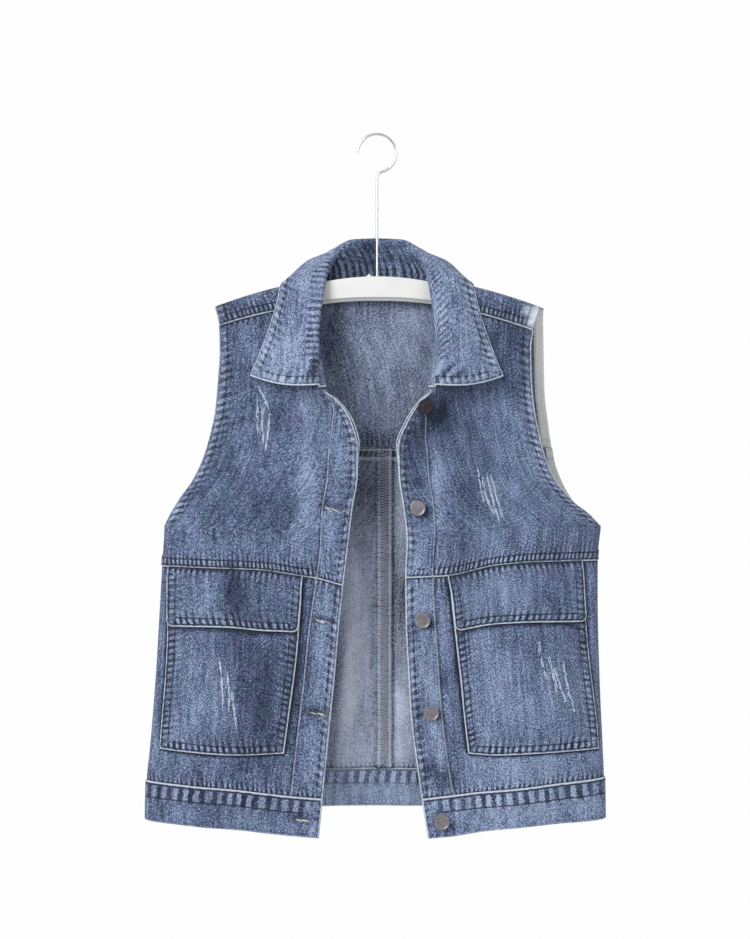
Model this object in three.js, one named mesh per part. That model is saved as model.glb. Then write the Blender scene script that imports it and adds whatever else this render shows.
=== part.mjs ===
// A sleeveless denim vest that hangs open on a flat hanger.
// Millimetres, +Z up. The front faces -Y, and +X is the wearer's left.
// The origin is the inside of the hook's crown, where a rail carries the hanger.
import * as THREE from "three";

// Cloth, seams and layers.
const CLOTH = 1.6; // denim wall
const SEAM_GAP = 0.4; // between pieces sewn edge to edge
const LAYER_GAP = 0.3; // between a panel and what is sewn on it
const LAP_WIDTH = 11; // felled seam, wide enough for two rows of stitching
const LAP_STEP = 1.5; // run of the slope beside a felled seam or a turned hem
const LAP_RISE = 1.1; // extra layers in a felled seam
const HEM_WIDTH = 10; // turned armhole hem
const HEM_RISE = 1.4; // its turned layers, on the inside
const BAND = 3.2; // waistband, folded double
const FACING = 1.2; // front facing, inside each front edge
const PATCH = 1.8; // pocket and flap
const COLLAR = 2.2; // collar, two layers

// The body of the vest: a shell, flat as it hangs, rounded at its sides and over the hanger.
const SIDE_SQUARENESS = 3.2; // exponent of the rounding across the body
const CREST_DROP = 12; // height over which the cloth rounds over the hanger
const CREST_NECK_Z = -160; // shoulder line beside the neck
const CREST_SLOPE = 0.16;
const CREST_BEND = 0.001;
const NECK_HALF = 68; // half of the neck opening at the shoulder line
const UNDERARM_Z = -434;
const YOKE_SEAM_Z = -347; // across the back
const BACK_SEAM_X = 8; // centre back seam
const NECK_CORNER_Z = -284; // top of the front edges, where the collar ends
const CURL_WIDTH = 36; // the turned strip of a front edge below the collar

// Half widths of the body where its side folds round, by wearer's side.
const BODY_SIDE = [
  { z: -160, right: 241, left: 250 },
  { z: -400, right: 239, left: 250.5 },
  { z: -434, right: 236, left: 248.5 },
  { z: -470, right: 238, left: 245 },
  { z: -515, right: 240.5, left: 245 },
  { z: -600, right: 245.5, left: 247 },
  { z: -680, right: 252, left: 250.5 },
  { z: -716, right: 255.5, left: 252 },
  { z: -780, right: 256.5, left: 252.5 },
];

// Armhole edges, from the shoulder line to the underarm point.
const ARMHOLE_FRONT = [
  { z: -188, right: 179, left: 181 },
  { z: -212, right: 174, left: 173.5 },
  { z: -240, right: 173, left: 169.5 },
  { z: -275, right: 175, left: 170.3 },
  { z: -305, right: 177.5, left: 173 },
  { z: -330, right: 182.5, left: 177.5 },
  { z: -356, right: 190, left: 184 },
  { z: -382, right: 202, left: 195 },
  { z: -405, right: 219, left: 215 },
  { z: -422, right: 230, left: 237 },
  { z: -434, right: 236, left: 248.5 },
];
const ARMHOLE_BACK = [
  { z: -188, right: 180, left: 184.5 },
  { z: -240, right: 172, left: 185.5 },
  { z: -280, right: 174, left: 186.5 },
  { z: -314, right: 178, left: 190.5 },
  { z: -340, right: 184, left: 194 },
  { z: -362, right: 191, left: 197.5 },
  { z: -382, right: 201, left: 204.5 },
  { z: -405, right: 217, left: 218 },
  { z: -422, right: 229, left: 236.5 },
  { z: -434, right: 236, left: 248.5 },
];

// Inner boundary of each front: the neckline down to the collar's end, then the front edge.
const FRONT_EDGE = [
  { z: -161, right: 70, left: 70 },
  { z: -190, right: 70, left: 70 },
  { z: -230, right: 68, left: 68 },
  { z: -260, right: 64.5, left: 64.5 },
  { z: -284, right: 60, left: 61 },
  { z: -295, right: 45, left: 49 },
  { z: -318, right: 28.5, left: 33.5 },
  { z: -345, right: 21.5, left: 23.5 },
  { z: -375, right: 21.5, left: 24 },
  { z: -416, right: 27.5, left: 29.7 },
  { z: -449, right: 31.5, left: 33 },
  { z: -490, right: 36.5, left: 31.5 },
  { z: -537, right: 41.5, left: 32 },
  { z: -600, right: 47, left: 35 },
  { z: -645, right: 51.5, left: 38 },
  { z: -735, right: 60.5, left: 50 },
  { z: -780, right: 65, left: 57.5 },
];

// Width of the stitched strip along each front edge, as it shows from the front.
const PLACKET = [
  { z: -160, width: 4 },
  { z: -284, width: 4 },
  { z: -298, width: 7 },
  { z: -318, width: 20 },
  { z: -350, width: 32 },
  { z: -404, width: 34 },
  { z: -471, width: 30 },
  { z: -560, width: 33 },
  { z: -735, width: 35 },
];

// Side edges of the patch pockets and their flaps.
const POCKET_SIDES = [
  { z: -470, outer_right: 229, inner_right: 81, outer_left: 225, inner_left: 76 },
  { z: -548, outer_right: 229.5, inner_right: 85.5, outer_left: 229.5, inner_left: 85.5 },
  { z: -680, outer_right: 238, inner_right: 101.5, outer_left: 243, inner_left: 100 },
  { z: -735, outer_right: 241, inner_right: 108, outer_left: 245.5, inner_left: 107 },
];

// Heights of the level seams and edges of the fronts, from the front edge out to the side.
const LEVELS_RIGHT = [
  { x: 40, chest: -498, flap: -550, pocket: -680, band: -734, hem: -776.5 },
  { x: 70, chest: -490, flap: -550, pocket: -681, band: -732, hem: -774 },
  { x: 118, chest: -483.5, flap: -549, pocket: -683, band: -728, hem: -770 },
  { x: 165, chest: -480.5, flap: -545.5, pocket: -684.5, band: -722.5, hem: -765 },
  { x: 240, chest: -478, flap: -543.5, pocket: -678.5, band: -716.5, hem: -759 },
];
const LEVELS_LEFT = [
  { x: 32, chest: -490.5, flap: -550, pocket: -680, band: -735, hem: -776.5 },
  { x: 78, chest: -487.5, flap: -549, pocket: -681, band: -729.5, hem: -773 },
  { x: 133, chest: -477, flap: -541, pocket: -684.5, band: -723.5, hem: -765 },
  { x: 181, chest: -472.5, flap: -539.5, pocket: -682.5, band: -719, hem: -761 },
  { x: 243, chest: -471.5, flap: -538.5, pocket: -678.5, band: -712.5, hem: -757 },
];
const BACK_LEVELS = [
  { x: -254, band: -716.5, hem: -759 },
  { x: -120, band: -709, hem: -751 },
  { x: 0, band: -706, hem: -748 },
  { x: 120, band: -708, hem: -750 },
  { x: 250, band: -712.5, hem: -757 },
];

// Depth of the front and back from the side seams' plane, to the inner face of the cloth.
const BODY_DEPTH = [
  { z: -160, front: 10.5, back: 10 },
  { z: -200, front: 12, back: 11 },
  { z: -260, front: 17, back: 15 },
  { z: -340, front: 23, back: 19 },
  { z: -440, front: 28, back: 23 },
  { z: -600, front: 31, back: 26 },
  { z: -780, front: 34, back: 28 },
];

// How far the front edges turn forward below the collar.
const CURL = [
  { z: -160, forward: 0 },
  { z: -200, forward: 0 },
  { z: -230, forward: 4 },
  { z: -262, forward: 12 },
  { z: -286, forward: 22 },
  { z: -318, forward: 18 },
  { z: -345, forward: 10 },
  { z: -375, forward: 4 },
  { z: -410, forward: 0 },
  { z: -800, forward: 0 },
];

// The largest folds: ridges (out) and troughs (out below 0) along a line, in the plane of the view.
const FOLDS_FRONT = [
  { x1: -86, z1: -320, x2: -90, z2: -470, width: 17, out: 5 },
  { x1: -120, z1: -300, x2: -128, z2: -470, width: 17, out: -4 },
  { x1: -160, z1: -330, x2: -192, z2: -470, width: 20, out: 4 },
  { x1: -160, z1: -560, x2: -168, z2: -650, width: 60, out: 5 },
  { x1: -104, z1: -540, x2: -116, z2: -750, width: 16, out: -3 },
  { x1: -190, z1: -700, x2: -196, z2: -790, width: 28, out: 4 },
  { x1: -140, z1: -700, x2: -142, z2: -790, width: 20, out: -3 },
  { x1: 84, z1: -340, x2: 80, z2: -480, width: 18, out: 4.5 },
  { x1: 118, z1: -290, x2: 126, z2: -460, width: 20, out: -4 },
  { x1: 158, z1: -320, x2: 190, z2: -460, width: 22, out: 4.5 },
  { x1: 165, z1: -560, x2: 175, z2: -650, width: 60, out: 5 },
  { x1: 100, z1: -520, x2: 112, z2: -750, width: 16, out: -3 },
  { x1: 150, z1: -700, x2: 150, z2: -790, width: 26, out: 4 },
  { x1: 205, z1: -690, x2: 208, z2: -790, width: 20, out: -3 },
];
const FOLDS_BACK = [
  { x1: -32, z1: -470, x2: -36, z2: -720, width: 20, out: -5 },
  { x1: 36, z1: -540, x2: 34, z2: -720, width: 16, out: -3 },
  { x1: -84, z1: -450, x2: -90, z2: -780, width: 26, out: 5 },
  { x1: 84, z1: -450, x2: 92, z2: -780, width: 26, out: 5 },
  { x1: -148, z1: -400, x2: -164, z2: -760, width: 24, out: -4 },
  { x1: 150, z1: -400, x2: 166, z2: -760, width: 24, out: -4 },
  { x1: -100, z1: -250, x2: -110, z2: -320, width: 50, out: 3 },
  { x1: 100, z1: -250, x2: 110, z2: -320, width: 50, out: 3 },
];
const FOLD_END = 30; // run over which a fold dies out at its ends

// Depth of the yoke's front part below the shoulder line, beside the neck and at the armhole.
const YOKE_DROP = {
  right: { neck: 27, tip: 22 },
  left: { neck: 28, tip: 28 },
};

// The neck opening in the yoke, as half width against the way over the shoulder (front below 0).
const YOKE_NECKLINE = [
  { x: 69.8, over: -22 },
  { x: 69.3, over: -13 },
  { x: 68.4, over: -6 },
  { x: 67, over: 1 },
  { x: 64, over: 7 },
  { x: 54, over: 13 },
  { x: 38, over: 17 },
  { x: 20, over: 19.3 },
  { x: 0, over: 20 },
];

// The collar from centre back to its front end: where its foot is sewn (x, way over the shoulder,
// height off the cloth), its fold line with the radius of the roll, and its outer edge (as the
// foot). The leaf stands up by `rise` and droops by `bow`, halfway from the fold to the edge.
const COLLAR_STATIONS = [
  { foot_x: 0, foot_over: 19.2, foot_off: 0.8, fold_x: 0, fold_y: 23, fold_z: -113, roll: 4,
    edge_x: 0, edge_over: 33, edge_off: 9, rise: 0, bow: 0 },
  { foot_x: 28, foot_over: 17.8, foot_off: 0.8, fold_x: 27, fold_y: 20, fold_z: -114.5, roll: 5,
    edge_x: 40, edge_over: 31, edge_off: 8, rise: 2, bow: 0 },
  { foot_x: 49, foot_over: 13.2, foot_off: 1, fold_x: 44, fold_y: 13.5, fold_z: -124, roll: 6,
    edge_x: 76, edge_over: 24, edge_off: 6, rise: 8, bow: 0 },
  { foot_x: 62.5, foot_over: 6, foot_off: 1.8, fold_x: 51, fold_y: 4, fold_z: -138, roll: 6,
    edge_x: 95, edge_over: 10, edge_off: 5, rise: 9, bow: 0 },
  { foot_x: 65.4, foot_over: -3, foot_off: 2, fold_x: 56, fold_y: -9, fold_z: -155, roll: 5,
    edge_x: 103, edge_over: 0, edge_off: 4.4, rise: 6, bow: 0 },
  { foot_x: 67.4, foot_over: -22, foot_off: 1.2, fold_x: 60, fold_y: -18, fold_z: -180, roll: 4,
    edge_x: 111, edge_over: -25, edge_off: 4.6, rise: 2, bow: 0 },
  { foot_x: 67, foot_over: -48, foot_off: 1, fold_x: 63.5, fold_y: -27, fold_z: -204, roll: 3.6,
    edge_x: 117, edge_over: -44, edge_off: 4.6, rise: 0, bow: 0 },
  { foot_x: 64.4, foot_over: -76, foot_off: 1, fold_x: 65, fold_y: -34, fold_z: -230, roll: 3.6,
    edge_x: 123, edge_over: -62, edge_off: 4.8, rise: 0, bow: 1 },
  { foot_x: 60.4, foot_over: -104, foot_off: 1, fold_x: 65, fold_y: -42, fold_z: -256, roll: 3.6,
    edge_x: 130.5, edge_over: -80, edge_off: 5.2, rise: 0, bow: 3 },
  { foot_x: 56.4, foot_over: -126, foot_off: 1, fold_x: 63, fold_y: -50, fold_z: -279, roll: 3.6,
    edge_x: 139, edge_over: -97, edge_off: 6, rise: 0, bow: 5 },
];
const LEAF_CROWN = 2.5; // outward bow of the collar's leaf

// Buttons and the hanger.
const BUTTON_ROWS = [
  { name: "button_1", z: -301, on: CLOTH },
  { name: "button_2", z: -414, on: CLOTH },
  { name: "button_3", z: -537, on: CLOTH },
  { name: "button_4", z: -638, on: CLOTH },
  { name: "button_5", z: -757, on: BAND },
];
const BUTTON_LIFT = 0.5; // clear of the cloth's facets
const BUTTON_INSET = [
  { z: -301, inset: 6 },
  { z: -414, inset: 15.5 },
  { z: -537, inset: 18 },
  { z: -638, inset: 21.5 },
  { z: -757, inset: 17.5 },
];
const BUTTON_RADIUS = 8.5;
const BUTTON_HEIGHT = 4.8;
const SHANK_RADIUS = 3.2;
const SHANK_HEIGHT = 1.9;

const HANGER_HALF = 166;
const HANGER_TOP_Z = -157;
const HANGER_ARCH = 8;
const HANGER_CLEAR = 3.4; // from its top to the inside of the shoulders
const HANGER_HEIGHT = 27;
const HANGER_END_HEIGHT = 15;
const HANGER_THICK = 9;
const HANGER_LIP = 12.5; // depth of the moulded lip along its lower edge
const HANGER_LIP_HEIGHT = 4;
const WIRE = 2.8;
const HOOK_INNER_RADIUS = 20;
const HOOK_BEND_RADIUS = 7;

const SIGN = { right: -1, left: 1 };

// A smooth monotone curve through a table: column `value` against column `along`.
function curve(table, along, value) {
  const rows = [...table].sort((a, b) => a[along] - b[along]);
  const at = rows.map((row) => row[along]);
  const to = rows.map((row) => row[value]);
  const slope = at.slice(1).map((a, i) => (to[i + 1] - to[i]) / (a - at[i]));
  const tangent = at.map((_, i) => {
    if (i === 0) return slope[0];
    if (i === at.length - 1) return slope[i - 1];
    const product = slope[i - 1] * slope[i];
    return product <= 0 ? 0 : (2 * product) / (slope[i - 1] + slope[i]);
  });
  return (t) => {
    if (t <= at[0]) return to[0] + (t - at[0]) * tangent[0];
    const last = at.length - 1;
    if (t >= at[last]) return to[last] + (t - at[last]) * tangent[last];
    let i = 0;
    while (t > at[i + 1]) i += 1;
    const run = at[i + 1] - at[i];
    const s = (t - at[i]) / run;
    const rise = s * s * (3 - 2 * s);
    return (
      to[i] + (to[i + 1] - to[i]) * rise +
      run * (tangent[i] * s * (1 - s) ** 2 - tangent[i + 1] * s * s * (1 - s))
    );
  };
}

const mix = (a, b, t) => a + (b - a) * t;
const clamp01 = (t) => Math.min(1, Math.max(0, t));
const ease = (t) => clamp01(t) ** 2 * (3 - 2 * clamp01(t));

// `cells` even steps from each stop to the next, as a list of positions between 0 and the last stop.
function steps(...cells) {
  const list = [0];
  cells.forEach((count, knot) => {
    for (let i = 1; i <= count; i += 1) list.push(knot + i / count);
  });
  return list;
}

const bodySide = {
  right: curve(BODY_SIDE, "z", "right"),
  left: curve(BODY_SIDE, "z", "left"),
};
const depthOf = {
  front: curve(BODY_DEPTH, "z", "front"),
  back: curve(BODY_DEPTH, "z", "back"),
};
const curlAt = curve(CURL, "z", "forward");
const placketWidth = curve(PLACKET, "z", "width");
const frontEdge = {
  right: curve(FRONT_EDGE, "z", "right"),
  left: curve(FRONT_EDGE, "z", "left"),
};
const armhole = {
  front: { right: curve(ARMHOLE_FRONT, "z", "right"), left: curve(ARMHOLE_FRONT, "z", "left") },
  back: { right: curve(ARMHOLE_BACK, "z", "right"), left: curve(ARMHOLE_BACK, "z", "left") },
};
const levels = { right: LEVELS_RIGHT, left: LEVELS_LEFT };

const sideOf = (x) => (x < 0 ? "right" : "left");

// Half width of the shell's inner face at a height.
const innerHalf = (side, z) => bodySide[side](z) - CLOTH;

// Outer boundary of a front or back: its armhole, then the side seam.
function outerEdge(face, side, z) {
  return z > UNDERARM_Z ? armhole[face][side](z) - CLOTH * ease((-z - 380) / 54) : innerHalf(side, z);
}

// The shoulder line, to the inner face of the cloth.
function crestZ(x) {
  const out = Math.max(0, Math.abs(x) - NECK_HALF);
  return CREST_NECK_Z - CLOTH - CREST_SLOPE * out - CREST_BEND * out * out;
}

function foldsAt(folds, x, z) {
  return folds.reduce((sum, fold) => {
    const dx = fold.x2 - fold.x1;
    const dz = fold.z2 - fold.z1;
    const length = Math.hypot(dx, dz);
    const along = ((x - fold.x1) * dx + (z - fold.z1) * dz) / length;
    const across = ((x - fold.x1) * dz - (z - fold.z1) * dx) / length;
    const ends = ease((along + FOLD_END) / FOLD_END) * ease((length + FOLD_END - along) / FOLD_END);
    return sum + fold.out * Math.exp(-((across / fold.width) ** 2)) * ends;
  }, 0);
}

// How far the cloth stands out from the side seams' plane. `over` is 1 away from the shoulder line.
function reach(face, x, z, over) {
  const side = sideOf(x);
  const share = clamp01(Math.abs(x) / innerHalf(side, z));
  const round = (1 - share ** SIDE_SQUARENESS) ** (1 / SIDE_SQUARENESS);
  const folds = foldsAt(face === "front" ? FOLDS_FRONT : FOLDS_BACK, x, z);
  const inset = Math.abs(x) - frontEdge[side](z);
  const curl = face === "front" ? curlAt(z) * ease(1 - inset / CURL_WIDTH) : 0;
  return SEAM_GAP / 2 + (depthOf[face](z) + folds) * round * over + curl;
}

// A point on the inner face of the cloth, below the rounding of the shoulder.
function bodyPoint(face, x, z) {
  const below = clamp01((crestZ(x) - z) / CREST_DROP);
  const over = Math.sqrt(1 - (1 - below) ** 2);
  return new THREE.Vector3(x, (face === "front" ? -1 : 1) * reach(face, x, z, over), z);
}

// A point on the inner face, `way` millimetres over the shoulder line: front below 0, back above 0.
function shoulderPoint(x, way) {
  const quarter = (CREST_DROP * Math.PI) / 2;
  const turn = Math.min(1, Math.abs(way) / quarter) * (Math.PI / 2);
  const fall = CREST_DROP * (1 - Math.cos(turn)) + Math.max(0, Math.abs(way) - quarter);
  const z = crestZ(x) - fall;
  const face = way < 0 ? "front" : "back";
  const out = reach(face, x, z, Math.sin(turn)) - SEAM_GAP / 2;
  return new THREE.Vector3(x, Math.sign(way) * out, z);
}

// The way over the shoulder at which the cloth has come down to a height.
function wayTo(x, z) {
  return (CREST_DROP * Math.PI) / 2 + (crestZ(x) - CREST_DROP - z);
}

// A point off the cloth beside the shoulder, moved out along its normal.
function shoulderOff(x, way, off) {
  const h = 0.5;
  const across = shoulderPoint(x + h, way).sub(shoulderPoint(x - h, way));
  const down = shoulderPoint(x, way + h).sub(shoulderPoint(x, way - h));
  return shoulderPoint(x, way).addScaledVector(down.cross(across).normalize().negate(), off);
}

// A grid of points with normals that point out of the garment.
class Lattice {
  constructor(points, outward) {
    this.points = points;
    this.rows = points.length;
    this.columns = points[0].length;
    this.normals = points.map((row, i) => row.map((_, j) => this.normalAt(i, j)));
    const middle = this.normals[this.rows >> 1][this.columns >> 1];
    if (middle.dot(outward) < 0) this.normals.flat().forEach((n) => n.negate());
  }

  normalAt(i, j) {
    const at = (row, column) => this.points[row][column];
    const last = [this.rows - 1, this.columns - 1];
    const down = at(Math.min(i + 1, last[0]), j).clone().sub(at(Math.max(i - 1, 0), j));
    const across = at(i, Math.min(j + 1, last[1])).clone().sub(at(i, Math.max(j - 1, 0)));
    return down.cross(across).normalize();
  }

  // The part of the grid between two rows and two columns, with the normals that it has here.
  part(row0, row1, column0, column1) {
    const cut = (grid) => grid.slice(row0, row1 + 1).map((row) => row.slice(column0, column1 + 1));
    const made = Object.create(Lattice.prototype);
    made.points = cut(this.points);
    made.normals = cut(this.normals);
    made.rows = made.points.length;
    made.columns = made.points[0].length;
    return made;
  }

  // This grid with another's rows below it.
  joined(other) {
    const made = Object.create(Lattice.prototype);
    made.points = [...this.points, ...other.points];
    made.normals = [...this.normals, ...other.normals];
    made.rows = made.points.length;
    made.columns = this.columns;
    return made;
  }
}

// A closed wall of cloth on a lattice, between two offsets along its normals.
function wall(lattice, innerOffset, outerOffset) {
  const { rows, columns } = lattice;
  const positions = [];
  for (const offset of [innerOffset, outerOffset]) {
    for (let i = 0; i < rows; i += 1) {
      for (let j = 0; j < columns; j += 1) {
        const off = typeof offset === "function" ? offset(i, j) : offset;
        const p = lattice.points[i][j].clone().addScaledVector(lattice.normals[i][j], off);
        positions.push(p.x, p.y, p.z);
      }
    }
  }
  const at = (layer, i, j) => (layer * rows + i) * columns + j;
  const index = [];
  const quad = (a, b, c, d) => index.push(a, b, c, a, c, d);
  for (let i = 0; i < rows - 1; i += 1) {
    for (let j = 0; j < columns - 1; j += 1) {
      quad(at(1, i, j), at(1, i + 1, j), at(1, i + 1, j + 1), at(1, i, j + 1));
      index.push(at(0, i, j), at(0, i + 1, j + 1), at(0, i + 1, j));
      index.push(at(0, i, j), at(0, i, j + 1), at(0, i + 1, j + 1));
    }
  }
  const rim = (i0, j0, i1, j1) => quad(at(0, i0, j0), at(0, i1, j1), at(1, i1, j1), at(1, i0, j0));
  for (let i = 0; i < rows - 1; i += 1) {
    rim(i, 0, i + 1, 0);
    rim(i + 1, columns - 1, i, columns - 1);
  }
  for (let j = 0; j < columns - 1; j += 1) {
    rim(rows - 1, j, rows - 1, j + 1);
    rim(0, j + 1, 0, j);
  }
  return closed(positions, index);
}

// A geometry from positions and triangles, turned so that its faces point out.
function closed(positions, index) {
  let volume = 0;
  const corner = (k) => new THREE.Vector3().fromArray(positions, 3 * k);
  for (let k = 0; k < index.length; k += 3) {
    const [a, b, c] = [corner(index[k]), corner(index[k + 1]), corner(index[k + 2])];
    volume += a.dot(b.cross(c));
  }
  if (volume < 0) {
    for (let k = 0; k < index.length; k += 3) {
      [index[k + 1], index[k + 2]] = [index[k + 2], index[k + 1]];
    }
  }
  const geometry = new THREE.BufferGeometry();
  geometry.setAttribute("position", new THREE.Float32BufferAttribute(positions, 3));
  geometry.setIndex(index);
  return geometry;
}

// Where a level line (a height against x) crosses a column line (an x against height).
function crossing(levelAt, columnAt) {
  let z = levelAt(columnAt(-500));
  for (let i = 0; i < 6; i += 1) z = levelAt(columnAt(z));
  return z;
}

const OUT = { front: new THREE.Vector3(0, -1, 0), back: new THREE.Vector3(0, 1, 0) };

// A lattice on the front or back between column lines and level lines, at the steps asked for.
function panelLattice(face, sign, columnLines, columnSteps, levelLines, levelSteps) {
  const between = (lines, step) => (t) => {
    const knot = Math.min(Math.floor(step), lines.length - 2);
    return mix(lines[knot](t), lines[knot + 1](t), step - knot);
  };
  const points = levelSteps.map((level) => columnSteps.map((column) => {
    const columnAt = between(columnLines, column);
    const z = crossing(between(levelLines, level), columnAt);
    return bodyPoint(face, sign * columnAt(z), z);
  }));
  return new Lattice(points, OUT[face]);
}

const level = (side, name) => curve(levels[side], "x", name);
const placketLine = (side) => (z) => frontEdge[side](z) + placketWidth(z);
const shoulderSeam = (side) => (x) => {
  const share = clamp01((x - NECK_HALF) / (179 - NECK_HALF));
  return crestZ(x) - mix(YOKE_DROP[side].neck, YOKE_DROP[side].tip, share);
};

// Chest panel, from the shoulder seam to the felled chest seam.
const UPPER_COLUMNS = [0, 0.06, 0.3, 1, 2, ...steps(7, 2).slice(1).map((t) => t + 2)];
const UPPER_ROWS = steps(4, 7, 1, 1);
const UPPER_STRIP = UPPER_COLUMNS.length - 3; // first column of the stitched strip
const UPPER_CORNER = 4; // row at the collar's end
function upperFront(side) {
  const outer = (z) => outerEdge("front", side, z);
  const chest = level(side, "chest");
  const columns = [
    outer,
    (z) => outer(z) - HEM_WIDTH,
    (z) => outer(z) - HEM_WIDTH - LAP_STEP,
    placketLine(side),
    frontEdge[side],
  ];
  const corner = (x) => NECK_CORNER_Z - 0.1 * (x - frontEdge[side](NECK_CORNER_Z));
  const rows = [
    (x) => shoulderSeam(side)(x) - SEAM_GAP,
    corner,
    (x) => chest(x) + LAP_WIDTH + LAP_STEP,
    (x) => chest(x) + LAP_WIDTH,
    (x) => chest(x) + SEAM_GAP / 2,
  ];
  return panelLattice("front", SIGN[side], columns, UPPER_COLUMNS, rows, UPPER_ROWS);
}

// Lower front, from the chest seam to the waistband, with lines for the pocket and its flap.
const LOWER_COLUMNS = [0, 0.07, 0.35, ...steps(1, 7, 2, 2).slice(1)];
const LOWER_ROWS = steps(3, 6, 2);
const POCKET_COLUMNS = [3, 10];
const LOWER_STRIP = LOWER_COLUMNS.length - 3;
const FLAP_ROW = 3;
const POCKET_TOP_ROW = 1;
const POCKET_ROW = 9;
function lowerColumns(side) {
  return [
    (z) => innerHalf(side, z),
    curve(POCKET_SIDES, "z", `outer_${side}`),
    curve(POCKET_SIDES, "z", `inner_${side}`),
    placketLine(side),
    frontEdge[side],
  ];
}
function lowerFront(side) {
  const rows = [
    (x) => level(side, "chest")(x) - SEAM_GAP / 2,
    level(side, "flap"),
    level(side, "pocket"),
    (x) => level(side, "band")(x) + SEAM_GAP / 2,
  ];
  return panelLattice("front", SIGN[side], lowerColumns(side), LOWER_COLUMNS, rows, LOWER_ROWS);
}
function frontBand(side) {
  const rows = [(x) => level(side, "band")(x) - SEAM_GAP / 2, level(side, "hem")];
  return panelLattice("front", SIGN[side], lowerColumns(side), LOWER_COLUMNS, rows, steps(3));
}

// Lower back, from the yoke seam to the waistband, and the band below both halves.
const BACK_COLUMNS = [0, 0.06, 0.3, 1, 2, ...steps(8, 1, 1).slice(1).map((t) => t + 2)];
function backColumns(side) {
  const outer = (z) => outerEdge("back", side, z);
  const centre = SIGN[side] * BACK_SEAM_X;
  return [
    outer,
    (z) => outer(z) - HEM_WIDTH,
    (z) => outer(z) - HEM_WIDTH - LAP_STEP,
    () => centre + HEM_WIDTH + LAP_STEP,
    () => centre + HEM_WIDTH,
    () => centre + SEAM_GAP / 2,
  ];
}
const backLevel = (side, name) => (x) => curve(BACK_LEVELS, "x", name)(SIGN[side] * x);
function lowerBack(side) {
  const rows = [
    () => YOKE_SEAM_Z - SEAM_GAP / 2,
    () => UNDERARM_Z,
    (x) => backLevel(side, "band")(x) + SEAM_GAP / 2,
  ];
  return panelLattice("back", SIGN[side], backColumns(side), BACK_COLUMNS, rows, steps(4, 10));
}
function backBand() {
  const half = (side) => panelLattice(
    "back", SIGN[side], backColumns(side), BACK_COLUMNS,
    [(x) => backLevel(side, "band")(x) - SEAM_GAP / 2, backLevel(side, "hem")], steps(3),
  );
  const [right, left] = [half("right"), half("left")];
  const points = right.points.map((row, i) => [...row, ...left.points[i].slice(0, -1).reverse()]);
  return new Lattice(points, OUT.back);
}

// Yoke: over both shoulders from the front seams to the seam across the back.
function yoke() {
  const tip = (side, x, way) => {
    const z = shoulderPoint(x, way).z;
    return armhole[way < 0 ? "front" : "back"][side](Math.min(z, -188));
  };
  const columns = [];
  for (const side of ["right", "left"]) {
    const made = [];
    for (let i = 0; i <= 7; i += 1) {
      const share = i / 7;
      made.push({
        start: (x) => -wayTo(x, shoulderSeam(side)(Math.abs(x))),
        x: (way) => SIGN[side] * mix(tip(side, 178, way), 70, share),
      });
    }
    for (const { x, over } of YOKE_NECKLINE) {
      made.push({ start: () => over, x: () => SIGN[side] * x });
    }
    if (side === "right") columns.push(...made);
    else columns.push(...made.slice(0, -1).reverse());
  }
  const ways = [-34, -23, -21.5, -15, -10, -5, 0, 5, 10, 15, 21, 36, 60, 85, 110, 135, 160, 175];
  const [first, last] = [ways[0], ways[ways.length - 1]];
  const points = ways.map((way) => columns.map((column) => {
    const start = column.start(column.x(first));
    let x = column.x(way);
    let at = way;
    for (let i = 0; i < 4; i += 1) {
      const end = wayTo(x, YOKE_SEAM_Z + SEAM_GAP / 2);
      at = mix(start, end, (way - first) / (last - first));
      x = column.x(at);
    }
    return shoulderPoint(x, at);
  }));
  return new Lattice(points, OUT.back);
}

// Collar: a stand and a leaf on either side of one rolled fold.
function collar() {
  const names = Object.keys(COLLAR_STATIONS[0]);
  const table = COLLAR_STATIONS.map((row, i) => ({ ...row, station: i }));
  const lines = Object.fromEntries(names.map((name) => [name, curve(table, "station", name)]));
  const last = table.length - 1;
  const section = (place) => {
    const station = Math.abs(place);
    const sign = Math.sign(place) || 1;
    const read = (name) => lines[name](station);
    return {
      foot: shoulderOff(sign * read("foot_x"), read("foot_over"), read("foot_off")),
      fold: new THREE.Vector3(sign * read("fold_x"), read("fold_y"), read("fold_z")),
      edge: shoulderOff(sign * read("edge_x"), read("edge_over"), read("edge_off")),
      roll: read("roll"),
      rise: read("rise") - read("bow"),
    };
  };
  const places = [];
  for (let i = -2 * last; i <= 2 * last; i += 1) places.push(i / 2);
  const points = places.map((place) => {
    const { foot, fold, edge, roll, rise } = section(place);
    const step = 0.05;
    const lower = Math.max(place - step, -last);
    const upper = Math.min(place + step, last);
    const run = section(upper).fold.sub(section(lower).fold).normalize();
    const inward = foot.clone().add(edge).multiplyScalar(0.5).sub(fold);
    inward.addScaledVector(run, -inward.dot(run)).normalize();
    const outward = new THREE.Vector3().crossVectors(run, inward);
    if (outward.dot(edge.clone().sub(foot)) < 0) outward.negate();
    const centre = fold.clone().addScaledVector(inward, roll);
    const standTop = centre.clone().addScaledVector(outward, -roll);
    const leafTop = centre.clone().addScaledVector(outward, roll);
    const row = [];
    for (let i = 0; i < 3; i += 1) row.push(foot.clone().lerp(standTop, i / 3));
    for (let i = 0; i <= 4; i += 1) {
      const turn = (Math.PI * i) / 4;
      row.push(centre.clone()
        .addScaledVector(outward, -roll * Math.cos(turn))
        .addScaledVector(inward, -roll * Math.sin(turn)));
    }
    for (let i = 1; i <= 5; i += 1) {
      const share = i / 5;
      const crown = Math.sin(Math.PI * share);
      const p = leafTop.clone().lerp(edge, share).addScaledVector(outward, LEAF_CROWN * crown);
      p.z += rise * crown;
      row.push(p);
    }
    return row;
  });
  return new Lattice(points, new THREE.Vector3(0, 0, 1));
}

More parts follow.
